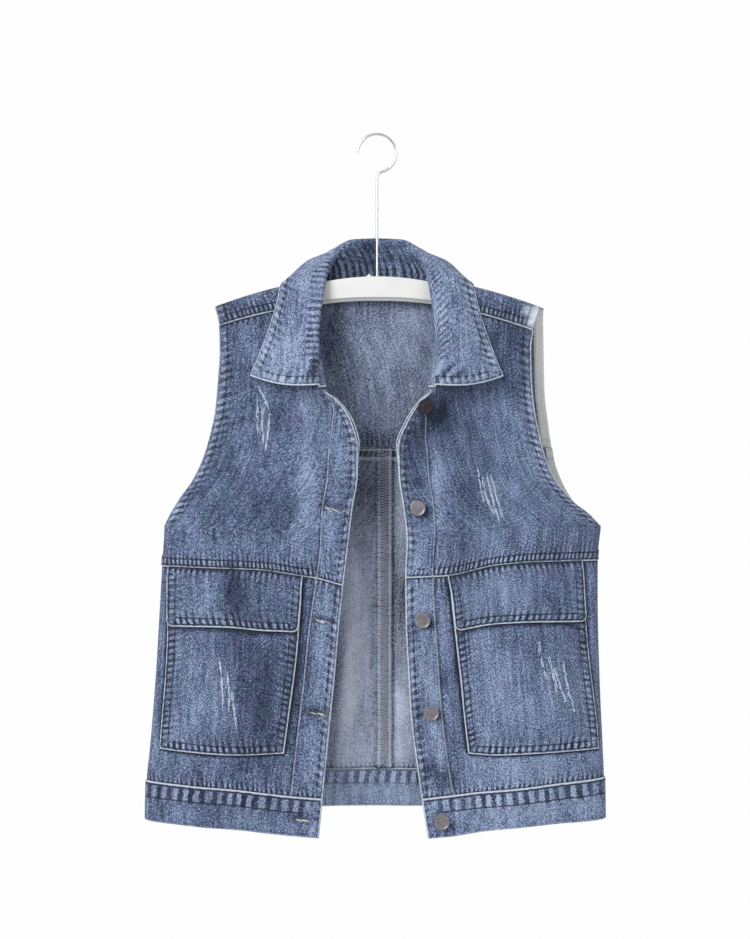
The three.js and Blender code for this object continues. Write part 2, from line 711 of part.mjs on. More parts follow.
// The direction out of the cloth at a point of the front or back.
function outwardAt(face, x, z) {
  const h = BUTTON_RADIUS / 2;
  const across = bodyPoint(face, x + h, z).sub(bodyPoint(face, x - h, z));
  const up = bodyPoint(face, x, z + h).sub(bodyPoint(face, x, z - h));
  const normal = across.cross(up).normalize();
  return normal.dot(OUT[face]) < 0 ? normal.negate() : normal;
}

// A shank button, as turned metal, standing on a front at a height, `seat` above its inner face.
function button(side, z, seat) {
  const x = SIGN[side] * (frontEdge[side](z) + curve(BUTTON_INSET, "z", "inset")(z));
  const profile = [
    [0, 0],
    [SHANK_RADIUS, 0],
    [SHANK_RADIUS, SHANK_HEIGHT],
    [BUTTON_RADIUS - 0.5, SHANK_HEIGHT + 0.2],
    [BUTTON_RADIUS, SHANK_HEIGHT + 1.1],
    [BUTTON_RADIUS - 0.5, BUTTON_HEIGHT - 0.4],
    [BUTTON_RADIUS - 1.8, BUTTON_HEIGHT],
    [0, BUTTON_HEIGHT - 0.2],
  ].map(([r, h]) => new THREE.Vector2(r, h));
  const normal = outwardAt("front", x, z);
  const mesh = new THREE.Mesh(new THREE.LatheGeometry(profile, 14));
  mesh.quaternion.setFromUnitVectors(new THREE.Vector3(0, 1, 0), normal);
  mesh.position.copy(bodyPoint("front", x, z)).addScaledVector(normal, seat);
  return mesh;
}

// Hanger board: one section swept along its arch, thinner in height towards its ends.
function hangerBoard() {
  const columns = [];
  const count = 32;
  for (let i = 0; i <= count; i += 1) {
    const x = HANGER_HALF * Math.sin((Math.PI / 2) * (-1 + (2 * i) / count));
    const far = Math.abs(x) / HANGER_HALF;
    const top = Math.abs(x) < NECK_HALF
      ? HANGER_TOP_Z - HANGER_ARCH * (x / NECK_HALF) ** 2
      : crestZ(x) - HANGER_CLEAR;
    const end = Math.sqrt(Math.max(0, 1 - Math.max(0, (far - 0.93) / 0.07) ** 2));
    const height = mix(HANGER_HEIGHT, HANGER_END_HEIGHT, far ** 1.5) * mix(0.35, 1, end);
    const drop = (HANGER_END_HEIGHT - height) * (far > 0.93 ? 0.4 : 0);
    const z1 = top - Math.max(0, drop);
    const z0 = z1 - height;
    const thin = HANGER_THICK / 2;
    const lip = HANGER_LIP / 2;
    const lipTop = z0 + Math.min(HANGER_LIP_HEIGHT, height * 0.4);
    columns.push([
      [-lip + 0.8, z0], [-lip, z0 + 1], [-lip, lipTop - 0.6], [-thin, lipTop + 0.6],
      [-thin, z1 - 2.5], [-thin + 2.2, z1], [thin - 2.2, z1], [thin, z1 - 2.5],
      [thin, lipTop + 0.6], [lip, lipTop - 0.6], [lip, z0 + 1], [lip - 0.8, z0],
    ].map(([y, z]) => new THREE.Vector3(x, y, z)));
  }
  const around = columns[0].length;
  const positions = columns.flat().flatMap((p) => [p.x, p.y, p.z]);
  const index = [];
  for (let i = 0; i < count; i += 1) {
    for (let j = 0; j < around; j += 1) {
      const [a, b] = [i * around + j, i * around + ((j + 1) % around)];
      index.push(a, b, b + around, a, b + around, a + around);
    }
  }
  for (let j = 1; j < around - 1; j += 1) {
    index.push(0, j + 1, j);
    index.push(count * around, count * around + j, count * around + j + 1);
  }
  return closed(positions, index);
}

// Hook: a straight shank from the board, one short bend, then an open round hook.
class HookPath extends THREE.Curve {
  constructor() {
    super();
    const radius = HOOK_INNER_RADIUS + WIRE / 2;
    const bend = HOOK_BEND_RADIUS;
    const centre = new THREE.Vector2(0, -HOOK_INNER_RADIUS);
    const low = centre.y - radius;
    this.pieces = [
      { length: low - bend - (HANGER_TOP_Z + LAYER_GAP), at: (s) => [0, HANGER_TOP_Z + LAYER_GAP + s] },
      {
        length: (bend * Math.PI) / 2,
        at: (s) => [bend * (1 - Math.cos(s / bend)), low - bend + bend * Math.sin(s / bend)],
      },
      {
        length: radius * ((250 * Math.PI) / 180),
        at: (s) => {
          const start = Math.asin(bend / radius);
          const turn = start + s / radius - Math.PI / 2;
          return [centre.x + radius * Math.cos(turn), centre.y + radius * Math.sin(turn)];
        },
      },
    ];
    this.total = this.pieces.reduce((sum, piece) => sum + piece.length, 0);
  }

  getPoint(t, target = new THREE.Vector3()) {
    let s = t * this.total;
    for (const piece of this.pieces) {
      if (s <= piece.length || piece === this.pieces[this.pieces.length - 1]) {
        const [x, z] = piece.at(Math.min(s, piece.length));
        return target.set(x, 0, z);
      }
      s -= piece.length;
    }
    return target;
  }
}

function hangerHook() {
  const section = new THREE.Shape();
  section.absarc(0, 0, WIRE / 2, 0, 2 * Math.PI, false);
  const geometry = new THREE.ExtrudeGeometry(section, {
    extrudePath: new HookPath(), steps: 44, curveSegments: 5, bevelEnabled: false,
  });
  return geometry;
}

const MATERIALS = {
  denim: { color: 0x7f8fb0, roughness: 0.9, metalness: 0 },
  denim_dark: { color: 0x6c7b9c, roughness: 0.9, metalness: 0 },
  metal: { color: 0x8d8580, roughness: 0.35, metalness: 1 },
  white: { color: 0xe9e7e2, roughness: 0.35, metalness: 0 },
  steel: { color: 0xc4c4c6, roughness: 0.25, metalness: 1 },
};

const vest = new THREE.Group();
function add(name, geometry, material) {
  const mesh = geometry.isMesh ? geometry : new THREE.Mesh(geometry);
  mesh.name = name;
  mesh.material = new THREE.MeshStandardMaterial(MATERIALS[material]);
  vest.add(mesh);
  return mesh;
}

function addFront(side) {
  const upper = upperFront(side);
  const lower = lowerFront(side);
  const band = frontBand(side);
  const hem = (i, j) => (j <= 3 ? -HEM_RISE : 0);
  const lap = (i) => CLOTH + (i >= upper.rows - 2 ? LAP_RISE : 0);
  add(`front_upper_${side}`, wall(upper, hem, lap), "denim");
  add(`front_lower_${side}`, wall(lower, 0, CLOTH), "denim");
  add(`waistband_front_${side}`, wall(band, 0, BAND), "denim");

  const strip = upper.part(UPPER_CORNER, upper.rows - 1, UPPER_STRIP, upper.columns - 1)
    .joined(lower.part(0, lower.rows - 1, LOWER_STRIP, lower.columns - 1));
  add(`front_facing_${side}`, wall(strip, -LAYER_GAP - FACING, -LAYER_GAP), "denim_dark");

  const onPanel = CLOTH + LAYER_GAP;
  const overPocket = onPanel + PATCH + LAYER_GAP;
  const patch = lower.part(POCKET_TOP_ROW, POCKET_ROW, ...POCKET_COLUMNS);
  add(`pocket_${side}`, wall(patch, onPanel, onPanel + PATCH), "denim");
  const flap = lower.part(0, FLAP_ROW, ...POCKET_COLUMNS);
  const base = (i) => (i === 0 ? onPanel : overPocket);
  add(`pocket_flap_${side}`, wall(flap, base, (i) => base(i) + PATCH), "denim");
}

for (const side of ["right", "left"]) {
  addFront(side);
  const back = lowerBack(side);
  const turned = (i, j) => (j <= 3 || j >= back.columns - 2 ? -HEM_RISE : 0);
  add(`back_${side}`, wall(back, turned, CLOTH), "denim");
}
add("waistband_back", wall(backBand(), 0, BAND), "denim");

const yokeGrid = yoke();
const yokeLap = (i) => CLOTH + (i <= 1 || i >= yokeGrid.rows - 2 ? LAP_RISE : 0);
add("yoke", wall(yokeGrid, 0, yokeLap), "denim");
add("collar", wall(collar(), -COLLAR / 2, COLLAR / 2), "denim");

for (const { name, z, on } of BUTTON_ROWS) {
  add(name, button("left", z, on + BUTTON_LIFT), "metal");
}

add("hanger_board", hangerBoard(), "white");
add("hanger_hook", hangerHook(), "steel");

export default vest;
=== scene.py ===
"""A faded denim vest that hangs open on a flat white hanger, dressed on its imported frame.

Sizes are in millimetres until a mesh is made. The front faces -Y, and +X is the wearer's left.
"""

from __future__ import annotations

import logging
import math
from dataclasses import dataclass, field
from enum import Enum
from typing import Any, Callable, Iterable, Sequence

import bpy
import numpy as np
from mathutils import Matrix, Vector

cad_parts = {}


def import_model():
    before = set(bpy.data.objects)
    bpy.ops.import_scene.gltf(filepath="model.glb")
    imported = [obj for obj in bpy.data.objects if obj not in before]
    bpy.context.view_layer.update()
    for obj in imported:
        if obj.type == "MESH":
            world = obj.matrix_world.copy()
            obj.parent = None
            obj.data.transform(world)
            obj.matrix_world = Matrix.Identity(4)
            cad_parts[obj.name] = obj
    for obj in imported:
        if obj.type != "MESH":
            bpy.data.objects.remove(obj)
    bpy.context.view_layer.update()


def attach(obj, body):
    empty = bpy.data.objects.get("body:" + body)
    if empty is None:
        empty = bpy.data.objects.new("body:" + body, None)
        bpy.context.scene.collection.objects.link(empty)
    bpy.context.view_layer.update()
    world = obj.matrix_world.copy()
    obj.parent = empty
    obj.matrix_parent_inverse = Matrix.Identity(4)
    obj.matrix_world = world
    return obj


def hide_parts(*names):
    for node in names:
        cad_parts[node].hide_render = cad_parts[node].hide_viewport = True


LOG = logging.getLogger("vest")
MM = 0.001
BODY = "root"
Array = np.ndarray
Line = Callable[[Array], Array]
Colour = tuple[float, float, float]
Rows = Iterable[tuple[Array, Array]]
Finish = bpy.types.Material
Item = bpy.types.Object


class Side(Enum):
    """The wearer's side of a piece."""

    RIGHT = "right"
    LEFT = "left"

    @property
    def sign(self) -> int:
        """The sign of X on this side."""
        return -1 if self is Side.RIGHT else 1


class Face(Enum):
    """The front or the back of the vest."""

    FRONT = "front"
    BACK = "back"

    @property
    def outward(self) -> tuple[float, float, float]:
        """The way out of the garment."""
        return (0.0, -1.0, 0.0) if self is Face.FRONT else (0.0, 1.0, 0.0)


class Axis(Enum):
    """The way that a sewn line runs on a grid of cloth."""

    ROW = 0
    COLUMN = 1


ROW, COLUMN = Axis


def ease(t: Array) -> Array:
    """A soft step from 0 to 1."""
    t = np.clip(t, 0.0, 1.0)
    return t * t * (3 - 2 * t)


def mix(a: Array, b: Array, t: Array) -> Array:
    """The point a share of the way from a to b."""
    return a + (b - a) * t


def unit(vectors: Array) -> Array:
    """Vectors made one long."""
    return vectors / np.maximum(np.linalg.norm(vectors, axis=-1, keepdims=True), 1e-9)


def reached(points: Array, axis: int = 0) -> Array:
    """Lengths along points from the first of them."""
    step = np.linalg.norm(np.diff(points, axis=axis), axis=-1)
    pad = [(0, 0)] * step.ndim
    pad[axis] = (1, 0)
    return np.cumsum(np.pad(step, pad), axis=axis)


def moved(line: Line, by: float) -> Line:
    """A line moved by a distance."""
    return lambda t: line(t) + by


def fixed(value: float) -> Line:
    """A line that stays at one value."""
    return lambda t: np.full(np.shape(t), value)


def table(names: str, rows: Sequence[Sequence[float]]) -> dict[str, Array]:
    """A short table as its named columns, whose names are parted by spaces."""
    return dict(zip(names.split(), np.array(rows, float).T))


def each(rows: dict[str, Array]) -> Iterable[tuple[float, ...]]:
    """A table's rows in turn."""
    return zip(*rows.values())


class Curve:
    """A smooth curve through a table, which overshoots none of its rows."""

    def __init__(self, at: Array, to: Array) -> None:
        """Fits the curve.

        Args:
            at: where the rows are.
            to: the value at each.
        """
        order = np.argsort(at)
        self.at, self.to = np.asarray(at, float)[order], np.asarray(to, float)[order]
        slope = np.diff(self.to) / np.diff(self.at)
        product, total = slope[:-1] * slope[1:], slope[:-1] + slope[1:]
        inner = np.where(product > 0, 2 * product / np.where(product > 0, total, 1.0), 0.0)
        self.tangent = np.concatenate([slope[:1], inner, slope[-1:]])

    def __call__(self, t: Array) -> Array:
        """The curve's values, run on straight past its ends."""
        t = np.asarray(t, float)
        k = np.clip(np.searchsorted(self.at, t, side="right") - 1, 0, len(self.at) - 2)
        run = self.at[k + 1] - self.at[k]
        s = np.clip((t - self.at[k]) / run, 0.0, 1.0)
        value = self.to[k] + (self.to[k + 1] - self.to[k]) * ease(s)
        value += run * (self.tangent[k] * s * (1 - s) ** 2 - self.tangent[k + 1] * s * s * (1 - s))
        below, above = np.minimum(t - self.at[0], 0.0), np.maximum(t - self.at[-1], 0.0)
        return value + below * self.tangent[0] + above * self.tangent[-1]


class Noise:
    """Smooth seeded noise from -1 to 1 over one or two numbers."""

    SIZE = 64

    def __init__(self, seed: int) -> None:
        """Draws the noise's values from a seed."""
        self.values = np.random.default_rng(seed).uniform(-1.0, 1.0, (self.SIZE, self.SIZE))

    def __call__(self, u: Array, v: Array = 0.0) -> Array:
        """The noise at points whose units are one value apart."""
        u, v = np.broadcast_arrays(np.asarray(u, float), np.asarray(v, float))
        i, j = np.floor(u).astype(int), np.floor(v).astype(int)
        s, t = ease(u - i), ease(v - j)
        read = lambda a, b: self.values[a % self.SIZE, b % self.SIZE]
        low = mix(read(i, j), read(i + 1, j), s)
        return mix(low, mix(read(i, j + 1), read(i + 1, j + 1), s), t)


def steps(*intervals: Sequence[float]) -> Array:
    """Positions along a row of knots, from a list of shares for each interval."""
    return np.array([0.0] + [k + share for k, shares in enumerate(intervals) for share in shares])


def graded(length: float, head: float = 0.0, tail: float = 0.0,
           coarse: float = 2.4) -> list[float]:
    """Shares of an interval, closer together beside its sewn ends.

    Args:
        length: the interval's length.
        head: the length at its start that is divided finely, at 1 mm.
        tail: the same at its end.
        coarse: the spacing elsewhere.

    Returns:
        Rising shares that end at 1.
    """
    parts: list[float] = []
    for start, stop, pitch in (
            (0.0, head, 1.0), (head, length - tail, coarse), (length - tail, length, 1.0)):
        count = max(1, round((stop - start) / pitch)) if stop > start else 0
        parts += [(start + (stop - start) * (i + 1) / count) / length for i in range(count)]
    return parts


# Half widths of the body where its side folds round.
BODY_SIDE = table("z right left", [
    (-160, 241, 250), (-400, 239, 250.5), (-434, 236, 248.5), (-470, 238, 245),
    (-515, 240.5, 245), (-600, 245.5, 247), (-680, 252, 250.5), (-716, 255.5, 252),
    (-780, 256.5, 252.5),
])
# Armhole edges, from the shoulder line to the underarm point.
ARMHOLE_FRONT = table("z right left", [
    (-188, 179, 181), (-212, 174, 173.5), (-240, 173, 169.5), (-275, 175, 170.3),
    (-305, 177.5, 173), (-330, 182.5, 177.5), (-356, 190, 184), (-382, 202, 195),
    (-405, 219, 215), (-422, 230, 237), (-434, 236, 248.5),
])
ARMHOLE_BACK = table("z right left", [
    (-188, 180, 184.5), (-240, 172, 185.5), (-280, 174, 186.5), (-314, 178, 190.5),
    (-340, 184, 194), (-362, 191, 197.5), (-382, 201, 204.5), (-405, 217, 218),
    (-422, 229, 236.5), (-434, 236, 248.5),
])
# Inner boundary of each front: the neckline down to the collar's end, then the front edge.
FRONT_EDGE = table("z right left", [
    (-161, 70, 70), (-190, 70, 70), (-230, 68, 68), (-260, 64.5, 64.5), (-284, 60, 61),
    (-295, 45, 49), (-318, 28.5, 33.5), (-345, 21.5, 23.5), (-375, 21.5, 24),
    (-416, 27.5, 29.7), (-449, 31.5, 33), (-490, 36.5, 31.5), (-537, 41.5, 32),
    (-600, 47, 35), (-645, 51.5, 38), (-735, 60.5, 50), (-780, 65, 57.5),
])
PLACKET = table("z width", [
    (-160, 4), (-284, 4), (-298, 7), (-318, 20), (-350, 32), (-404, 34), (-471, 30),
    (-560, 33), (-735, 35),
])
POCKET_SIDES = table("z outer_right inner_right outer_left inner_left", [
    (-470, 229, 81, 225, 76), (-548, 229.5, 85.5, 229.5, 85.5),
    (-680, 238, 101.5, 243, 100), (-735, 241, 108, 245.5, 107),
])
# Heights of the level seams of the fronts, from the front edge out to the side.
LEVELS = {
    Side.RIGHT: table("x chest flap pocket band hem", [
        (40, -498, -550, -680, -734, -776.5), (70, -490, -550, -681, -732, -774),
        (118, -483.5, -549, -683, -728, -770), (165, -480.5, -545.5, -684.5, -722.5, -765),
        (240, -478, -543.5, -678.5, -716.5, -759),
    ]),
    Side.LEFT: table("x chest flap pocket band hem", [
        (32, -490.5, -550, -680, -735, -776.5), (78, -487.5, -549, -681, -729.5, -773),
        (133, -477, -541, -684.5, -723.5, -765), (181, -472.5, -539.5, -682.5, -719, -761),
        (243, -471.5, -538.5, -678.5, -712.5, -757),
    ]),
}
BACK_LEVELS = table("x band hem", [
    (-254, -716.5, -759), (-120, -709, -751), (0, -706, -748), (120, -708, -750),
    (250, -712.5, -757),
])
BODY_DEPTH = table("z front back", [
    (-160, 10.5, 10), (-200, 12, 11), (-260, 17, 15), (-340, 23, 19), (-440, 28, 23),
    (-600, 31, 26), (-780, 34, 28),
])
CURL = table("z forward", [
    (-160, 0), (-200, 0), (-230, 4), (-262, 12), (-286, 22), (-318, 18), (-345, 10),
    (-375, 4), (-410, 0), (-800, 0),
])
# The largest folds: ridges and troughs along a line, in the plane of the view.
FOLDS = {
    Face.FRONT: table("x1 z1 x2 z2 width out", [
        (-86, -320, -90, -470, 17, 5), (-120, -300, -128, -470, 17, -4),
        (-160, -330, -192, -470, 20, 4), (-160, -560, -168, -650, 60, 5),
        (-104, -540, -116, -750, 16, -3), (-190, -700, -196, -790, 28, 4),
        (-140, -700, -142, -790, 20, -3), (84, -340, 80, -480, 18, 4.5),
        (118, -290, 126, -460, 20, -4), (158, -320, 190, -460, 22, 4.5),
        (165, -560, 175, -650, 60, 5), (100, -520, 112, -750, 16, -3),
        (150, -700, 150, -790, 26, 4), (205, -690, 208, -790, 20, -3),
    ]),
    Face.BACK: table("x1 z1 x2 z2 width out", [
        (-32, -470, -36, -720, 20, -5), (36, -540, 34, -720, 16, -3),
        (-84, -450, -90, -780, 26, 5), (84, -450, 92, -780, 26, 5),
        (-148, -400, -164, -760, 24, -4), (150, -400, 166, -760, 24, -4),
        (-100, -250, -110, -320, 50, 3), (100, -250, 110, -320, 50, 3),
    ]),
}
YOKE_NECKLINE = table("x over", [
    (69.8, -22), (69.3, -13), (68.4, -6), (67, 1), (64, 7), (54, 13), (38, 17),
    (20, 19.3), (0, 20),
])
COLLAR_STATIONS = table(
    "foot_x foot_over foot_off fold_x fold_y fold_z roll edge_x edge_over edge_off rise bow", [
        (0, 19.2, 0.8, 0, 23, -113, 4, 0, 33, 9, 0, 0),
        (28, 17.8, 0.8, 27, 20, -114.5, 5, 40, 31, 8, 2, 0),
        (49, 13.2, 1, 44, 13.5, -124, 6, 76, 24, 6, 8, 0),
        (62.5, 6, 1.8, 51, 4, -138, 6, 95, 10, 5, 9, 0),
        (65.4, -3, 2, 56, -9, -155, 5, 103, 0, 4.4, 6, 0),
        (67.4, -22, 1.2, 60, -18, -180, 4, 111, -25, 4.6, 2, 0),
        (67, -48, 1, 63.5, -27, -204, 3.6, 117, -44, 4.6, 0, 0),
        (64.4, -76, 1, 65, -34, -230, 3.6, 123, -62, 4.8, 0, 1),
        (60.4, -104, 1, 65, -42, -256, 3.6, 130.5, -80, 5.2, 0, 3),
        (56.4, -126, 1, 63, -50, -279, 3.6, 139, -97, 6, 0, 5),
    ])
BUTTONS = table("z inset", [(-301, 6), (-414, 15.5), (-537, 18), (-638, 21.5), (-757, 17.5)])
BUTTONHOLES = table("x z length tilt", [
    (-51.2, -414.2, 21, -14), (-62.2, -537.4, 20, -10), (-65.5, -639, 24, -8),
    (-83.6, -755, 21, -6),
])
# Each bundle of scratched threads bends through three points.
SCRATCHES = table("x1 z1 x2 z2 x3 z3 count out", [
    (-132, -277, -124, -293, -118, -308, 4, 1.6), (-118, -308, -120, -330, -123, -352, 4, 1.6),
    (-131, -291, -132, -311, -131, -333, 3, 1.6), (-125, -297, -126.5, -322, -124, -344, 3, 1.6),
    (110, -366, 113, -388, 118, -410, 3, 1.6), (117, -377, 121, -403, 132, -424, 4, 1.6),
    (120, -371, 126.5, -399, 135, -430, 4, 1.6), (125, -376, 132, -403, 139, -428, 3, 1.6),
    (-173, -577, -170.5, -606, -169, -637, 4, 3.7), (-164, -594, -162, -619, -163, -640, 4, 3.7),
    (-159.5, -612, -156, -636, -153, -657, 4, 3.7), (177, -557, 180.5, -581, 187, -604, 3, 3.7),
    (188, -575, 193.5, -597, 198, -619, 4, 3.7), (193.5, -586, 200, -606, 208, -629, 4, 3.7),
    (204.5, -581, 209, -608, 218, -640, 4, 3.7),
])


@dataclass
class VestBody:
    """The form of the whole vest, which every panel lies on."""

    cloth: float = 1.6
    seam_gap: float = 0.4
    squareness: float = 3.2
    crest_drop: float = 12.0
    crest_neck_z: float = -160.0
    crest_slope: float = 0.16
    crest_bend: float = 0.001
    neck_half: float = 68.0
    shoulder_half: float = 179.0
    underarm_z: float = -434.0
    curl_width: float = 36.0
    fold_end: float = 30.0
    ripple_height: float = 1.1
    yoke_seam_z: float = -347.0
    hem_width: float = 10.0
    hem_rise: float = 1.4
    band: float = 3.2
    band_z: float = -740.0

    def __post_init__(self) -> None:
        """Fits the curves through the tables."""
        self.half = {s: Curve(BODY_SIDE["z"], BODY_SIDE[s.value]) for s in Side}
        self.edge = {s: Curve(FRONT_EDGE["z"], FRONT_EDGE[s.value]) for s in Side}
        self.armhole = {
            (face, s): Curve(rows["z"], rows[s.value])
            for face, rows in ((Face.FRONT, ARMHOLE_FRONT), (Face.BACK, ARMHOLE_BACK))
            for s in Side
        }
        self.depth = {f: Curve(BODY_DEPTH["z"], BODY_DEPTH[f.value]) for f in Face}
        self.curl = Curve(CURL["z"], CURL["forward"])
        self.placket_width = Curve(PLACKET["z"], PLACKET["width"])
        self.ripples = {Face.FRONT: Noise(11), Face.BACK: Noise(12)}

    def inner_half(self, side: Side, z: Array) -> Array:
        """Half width of the shell's inner face."""
        return self.half[side](z) - self.cloth

    def outer_edge(self, face: Face, side: Side) -> Line:
        """The outer boundary of a front or back: its armhole, then the side seam."""
        hole = self.armhole[face, side]
        return lambda z: np.where(
            z > self.underarm_z, hole(z) - self.cloth * ease((-z - 380) / 54),
            self.inner_half(side, z))

    def placket_line(self, side: Side) -> Line:
        """The inner edge of the stitched strip along a front edge."""
        return lambda z: self.edge[side](z) + self.placket_width(z)

    def crest(self, x: Array) -> Array:
        """Height of the shoulder line, to the inner face of the cloth."""
        out = np.maximum(0.0, np.abs(x) - self.neck_half)
        return self.crest_neck_z - self.cloth - self.crest_slope * out - self.crest_bend * out**2

    def folds(self, face: Face, x: Array, z: Array) -> Array:
        """How far the folds and the soft ripples between them stand out."""
        total = np.zeros(np.broadcast(x, z).shape)
        for x1, z1, x2, z2, width, out in each(FOLDS[face]):
            length = math.hypot(x2 - x1, z2 - z1)
            along = ((x - x1) * (x2 - x1) + (z - z1) * (z2 - z1)) / length
            across = ((x - x1) * (z2 - z1) - (z - z1) * (x2 - x1)) / length
            ends = ease((along + self.fold_end) / self.fold_end)
            ends *= ease((length + self.fold_end - along) / self.fold_end)
            total += out * np.exp(-((across / width) ** 2)) * ends
        noise = self.ripples[face]
        fine = noise(x / 24 + z / 240, z / 95) + 0.5 * noise(x / 11 + 30, z / 46 + 20)
        return total + self.ripple_height * fine

    def reach(self, face: Face, x: Array, z: Array, over: Array) -> Array:
        """How far the cloth stands out from the side seams' plane."""
        half = np.where(x < 0, *(self.inner_half(side, z) for side in Side))
        share = np.clip(np.abs(x) / half, 0.0, 1.0)
        rounding = (1 - share**self.squareness) ** (1 / self.squareness)
        out = (self.depth[face](z) + self.folds(face, x, z)) * rounding * over
        if face is Face.FRONT:
            edge = np.where(x < 0, *(self.edge[side](z) for side in Side))
            out = out + self.curl(z) * ease(1 - (np.abs(x) - edge) / self.curl_width)
        return self.seam_gap / 2 + out

    def point(self, face: Face, x: Array, z: Array) -> Array:
        """Points on the inner face of the cloth, below the rounding of the shoulder."""
        below = np.clip((self.crest(x) - z) / self.crest_drop, 0.0, 1.0)
        over = np.sqrt(1 - (1 - below) ** 2)
        y = face.outward[1] * self.reach(face, x, z, over)
        return np.stack(np.broadcast_arrays(x, y, z), -1)

    def shoulder_point(self, x: Array, way: Array) -> Array:
        """Points a way over the shoulder line: front below 0, back above 0."""
        quarter = self.crest_drop * math.pi / 2
        turn = np.minimum(1.0, np.abs(way) / quarter) * math.pi / 2
        fall = self.crest_drop * (1 - np.cos(turn)) + np.maximum(0.0, np.abs(way) - quarter)
        z = self.crest(x) - fall
        out = np.where(way < 0, *(self.reach(face, x, z, np.sin(turn)) for face in Face))
        y = np.sign(way) * (out - self.seam_gap / 2)
        return np.stack(np.broadcast_arrays(x, y, z), -1)

    def way_to(self, x: Array, z: Array) -> Array:
        """The way over the shoulder at which the cloth has come down to a height."""
        return self.crest_drop * math.pi / 2 + (self.crest(x) - self.crest_drop - z)

    def shoulder_off(self, x: Array, way: Array, off: Array) -> Array:
        """Points off the cloth beside the shoulder, moved out along its normal."""
        h = 0.5
        across = self.shoulder_point(x + h, way) - self.shoulder_point(x - h, way)
        down = self.shoulder_point(x, way + h) - self.shoulder_point(x, way - h)
        normal = unit(np.cross(across, down))
        return self.shoulder_point(x, way) + normal * np.asarray(off)[..., None]

    def shoulder_seam(self, side: Side) -> Line:
        """The seam between the yoke and a chest panel."""
        neck, tip = (27.0, 22.0) if side is Side.RIGHT else (28.0, 28.0)
        run = self.shoulder_half - self.neck_half
        return lambda x: self.crest(x) - mix(
            neck, tip, np.clip((x - self.neck_half) / run, 0.0, 1.0))

    def seat(self, x: float, z: float, off: float, reach: float = 4.0) -> Matrix:
        """A frame that stands on the front or its waistband: X level along it, Y out of it.

        Args:
            x: where it stands.
            z: its height.
            off: how far it stands off the cloth.
            reach: half the length over which the slope is taken.

        Returns:
            The frame, in millimetres.
        """
        at = lambda dx, dz: Vector(self.point(Face.FRONT, np.array(x + dx), np.array(z + dz)))
        level = (at(reach, 0) - at(-reach, 0)).normalized()
        up = (at(0, reach) - at(0, -reach)).normalized()
        out = level.cross(up).normalized()
        if out.dot(Vector(Face.FRONT.outward)) < 0:
            out.negate()
        frame = Matrix((level, out, out.cross(level).normalized())).transposed().to_4x4()
        off += self.band if z < self.band_z else self.cloth
        frame.translation = at(0, 0) + out * off
        return frame


@dataclass
class Grid:
    """A grid of points on the cloth, with normals that point out of the garment."""

    points: Array
    normals: Array
    turned: bool
    row_steps: Array | None = None
    column_steps: Array | None = None

    def __post_init__(self) -> None:
        """Measures down and across the grid."""
        self.shape = self.points.shape[:2]
        self.down, self.across = reached(self.points, 0), reached(self.points, 1)

    @classmethod
    def facing(cls, face: Face, points: Array, *places: Array | None) -> Grid:
        """A grid that faces out of the front or the back.

        Args:
            face: the front or back.
            points: rows by columns by three.
            places: the rows' places between their knots, then the columns'.

        Returns:
            The grid, with its normals.
        """
        normals = unit(np.cross(np.gradient(points, axis=0), np.gradient(points, axis=1)))
        middle = normals[points.shape[0] // 2, points.shape[1] // 2]
        turned = float(middle @ np.array(face.outward)) < 0
        return cls(points, -normals if turned else normals, turned, *places)

    def knot(self, axis: Axis, number: float) -> int:
        """The row or column at a knot, counted from the end where it is below 0."""
        if number < 0:
            return self.shape[axis.value] - 1
        places = (self.row_steps, self.column_steps)[axis.value]
        return int(np.argmin(np.abs(places - number)))

    def part(self, rows: tuple[float, float], columns: tuple[float, float]) -> Grid:
        """The part between two knots down and two across, both included."""
        down, across = (slice(self.knot(axis, ends[0]), self.knot(axis, ends[1]) + 1)
                        for axis, ends in ((ROW, rows), (COLUMN, columns)))
        return Grid(self.points[down, across], self.normals[down, across], self.turned,
                    self.row_steps[down], self.column_steps[across])

    def joined(self, other: Grid) -> Grid:
        """This grid with another's rows below it."""
        return Grid(np.concatenate([self.points, other.points]),
                    np.concatenate([self.normals, other.normals]), self.turned)


def between(lines: Sequence[Line], places: Array, t: Array) -> Array:
    """Values part of the way from one line to the next, at t."""
    every = np.stack([line(t) for line in lines])
    low = np.minimum(places.astype(int), len(lines) - 2)
    rows, columns = np.indices(t.shape)
    return mix(every[low, rows, columns], every[low + 1, rows, columns], places - low)


def panel(body: VestBody, face: Face, side: Side, lines: Sequence[Line], column_steps: Array,
          levels: Sequence[Line], row_steps: Array) -> Grid:
    """A grid on the front or back, between column lines and level lines.

    Args:
        body: the vest's form.
        face: the front or back.
        side: the side that the panel is on.
        lines: half widths against height, from the side inwards.
        column_steps: the columns' places between those lines.
        levels: heights against half width, from the top down.
        row_steps: the rows' places between those levels.

    Returns:
        The grid.
    """
    rows, columns = np.meshgrid(row_steps, column_steps, indexing="ij")
    z = np.full(rows.shape, -500.0)
    for _ in range(8):
        z = between(levels, rows, between(lines, columns, z))
    points = body.point(face, side.sign * between(lines, columns, z), z)
    return Grid.facing(face, points, row_steps, column_steps)


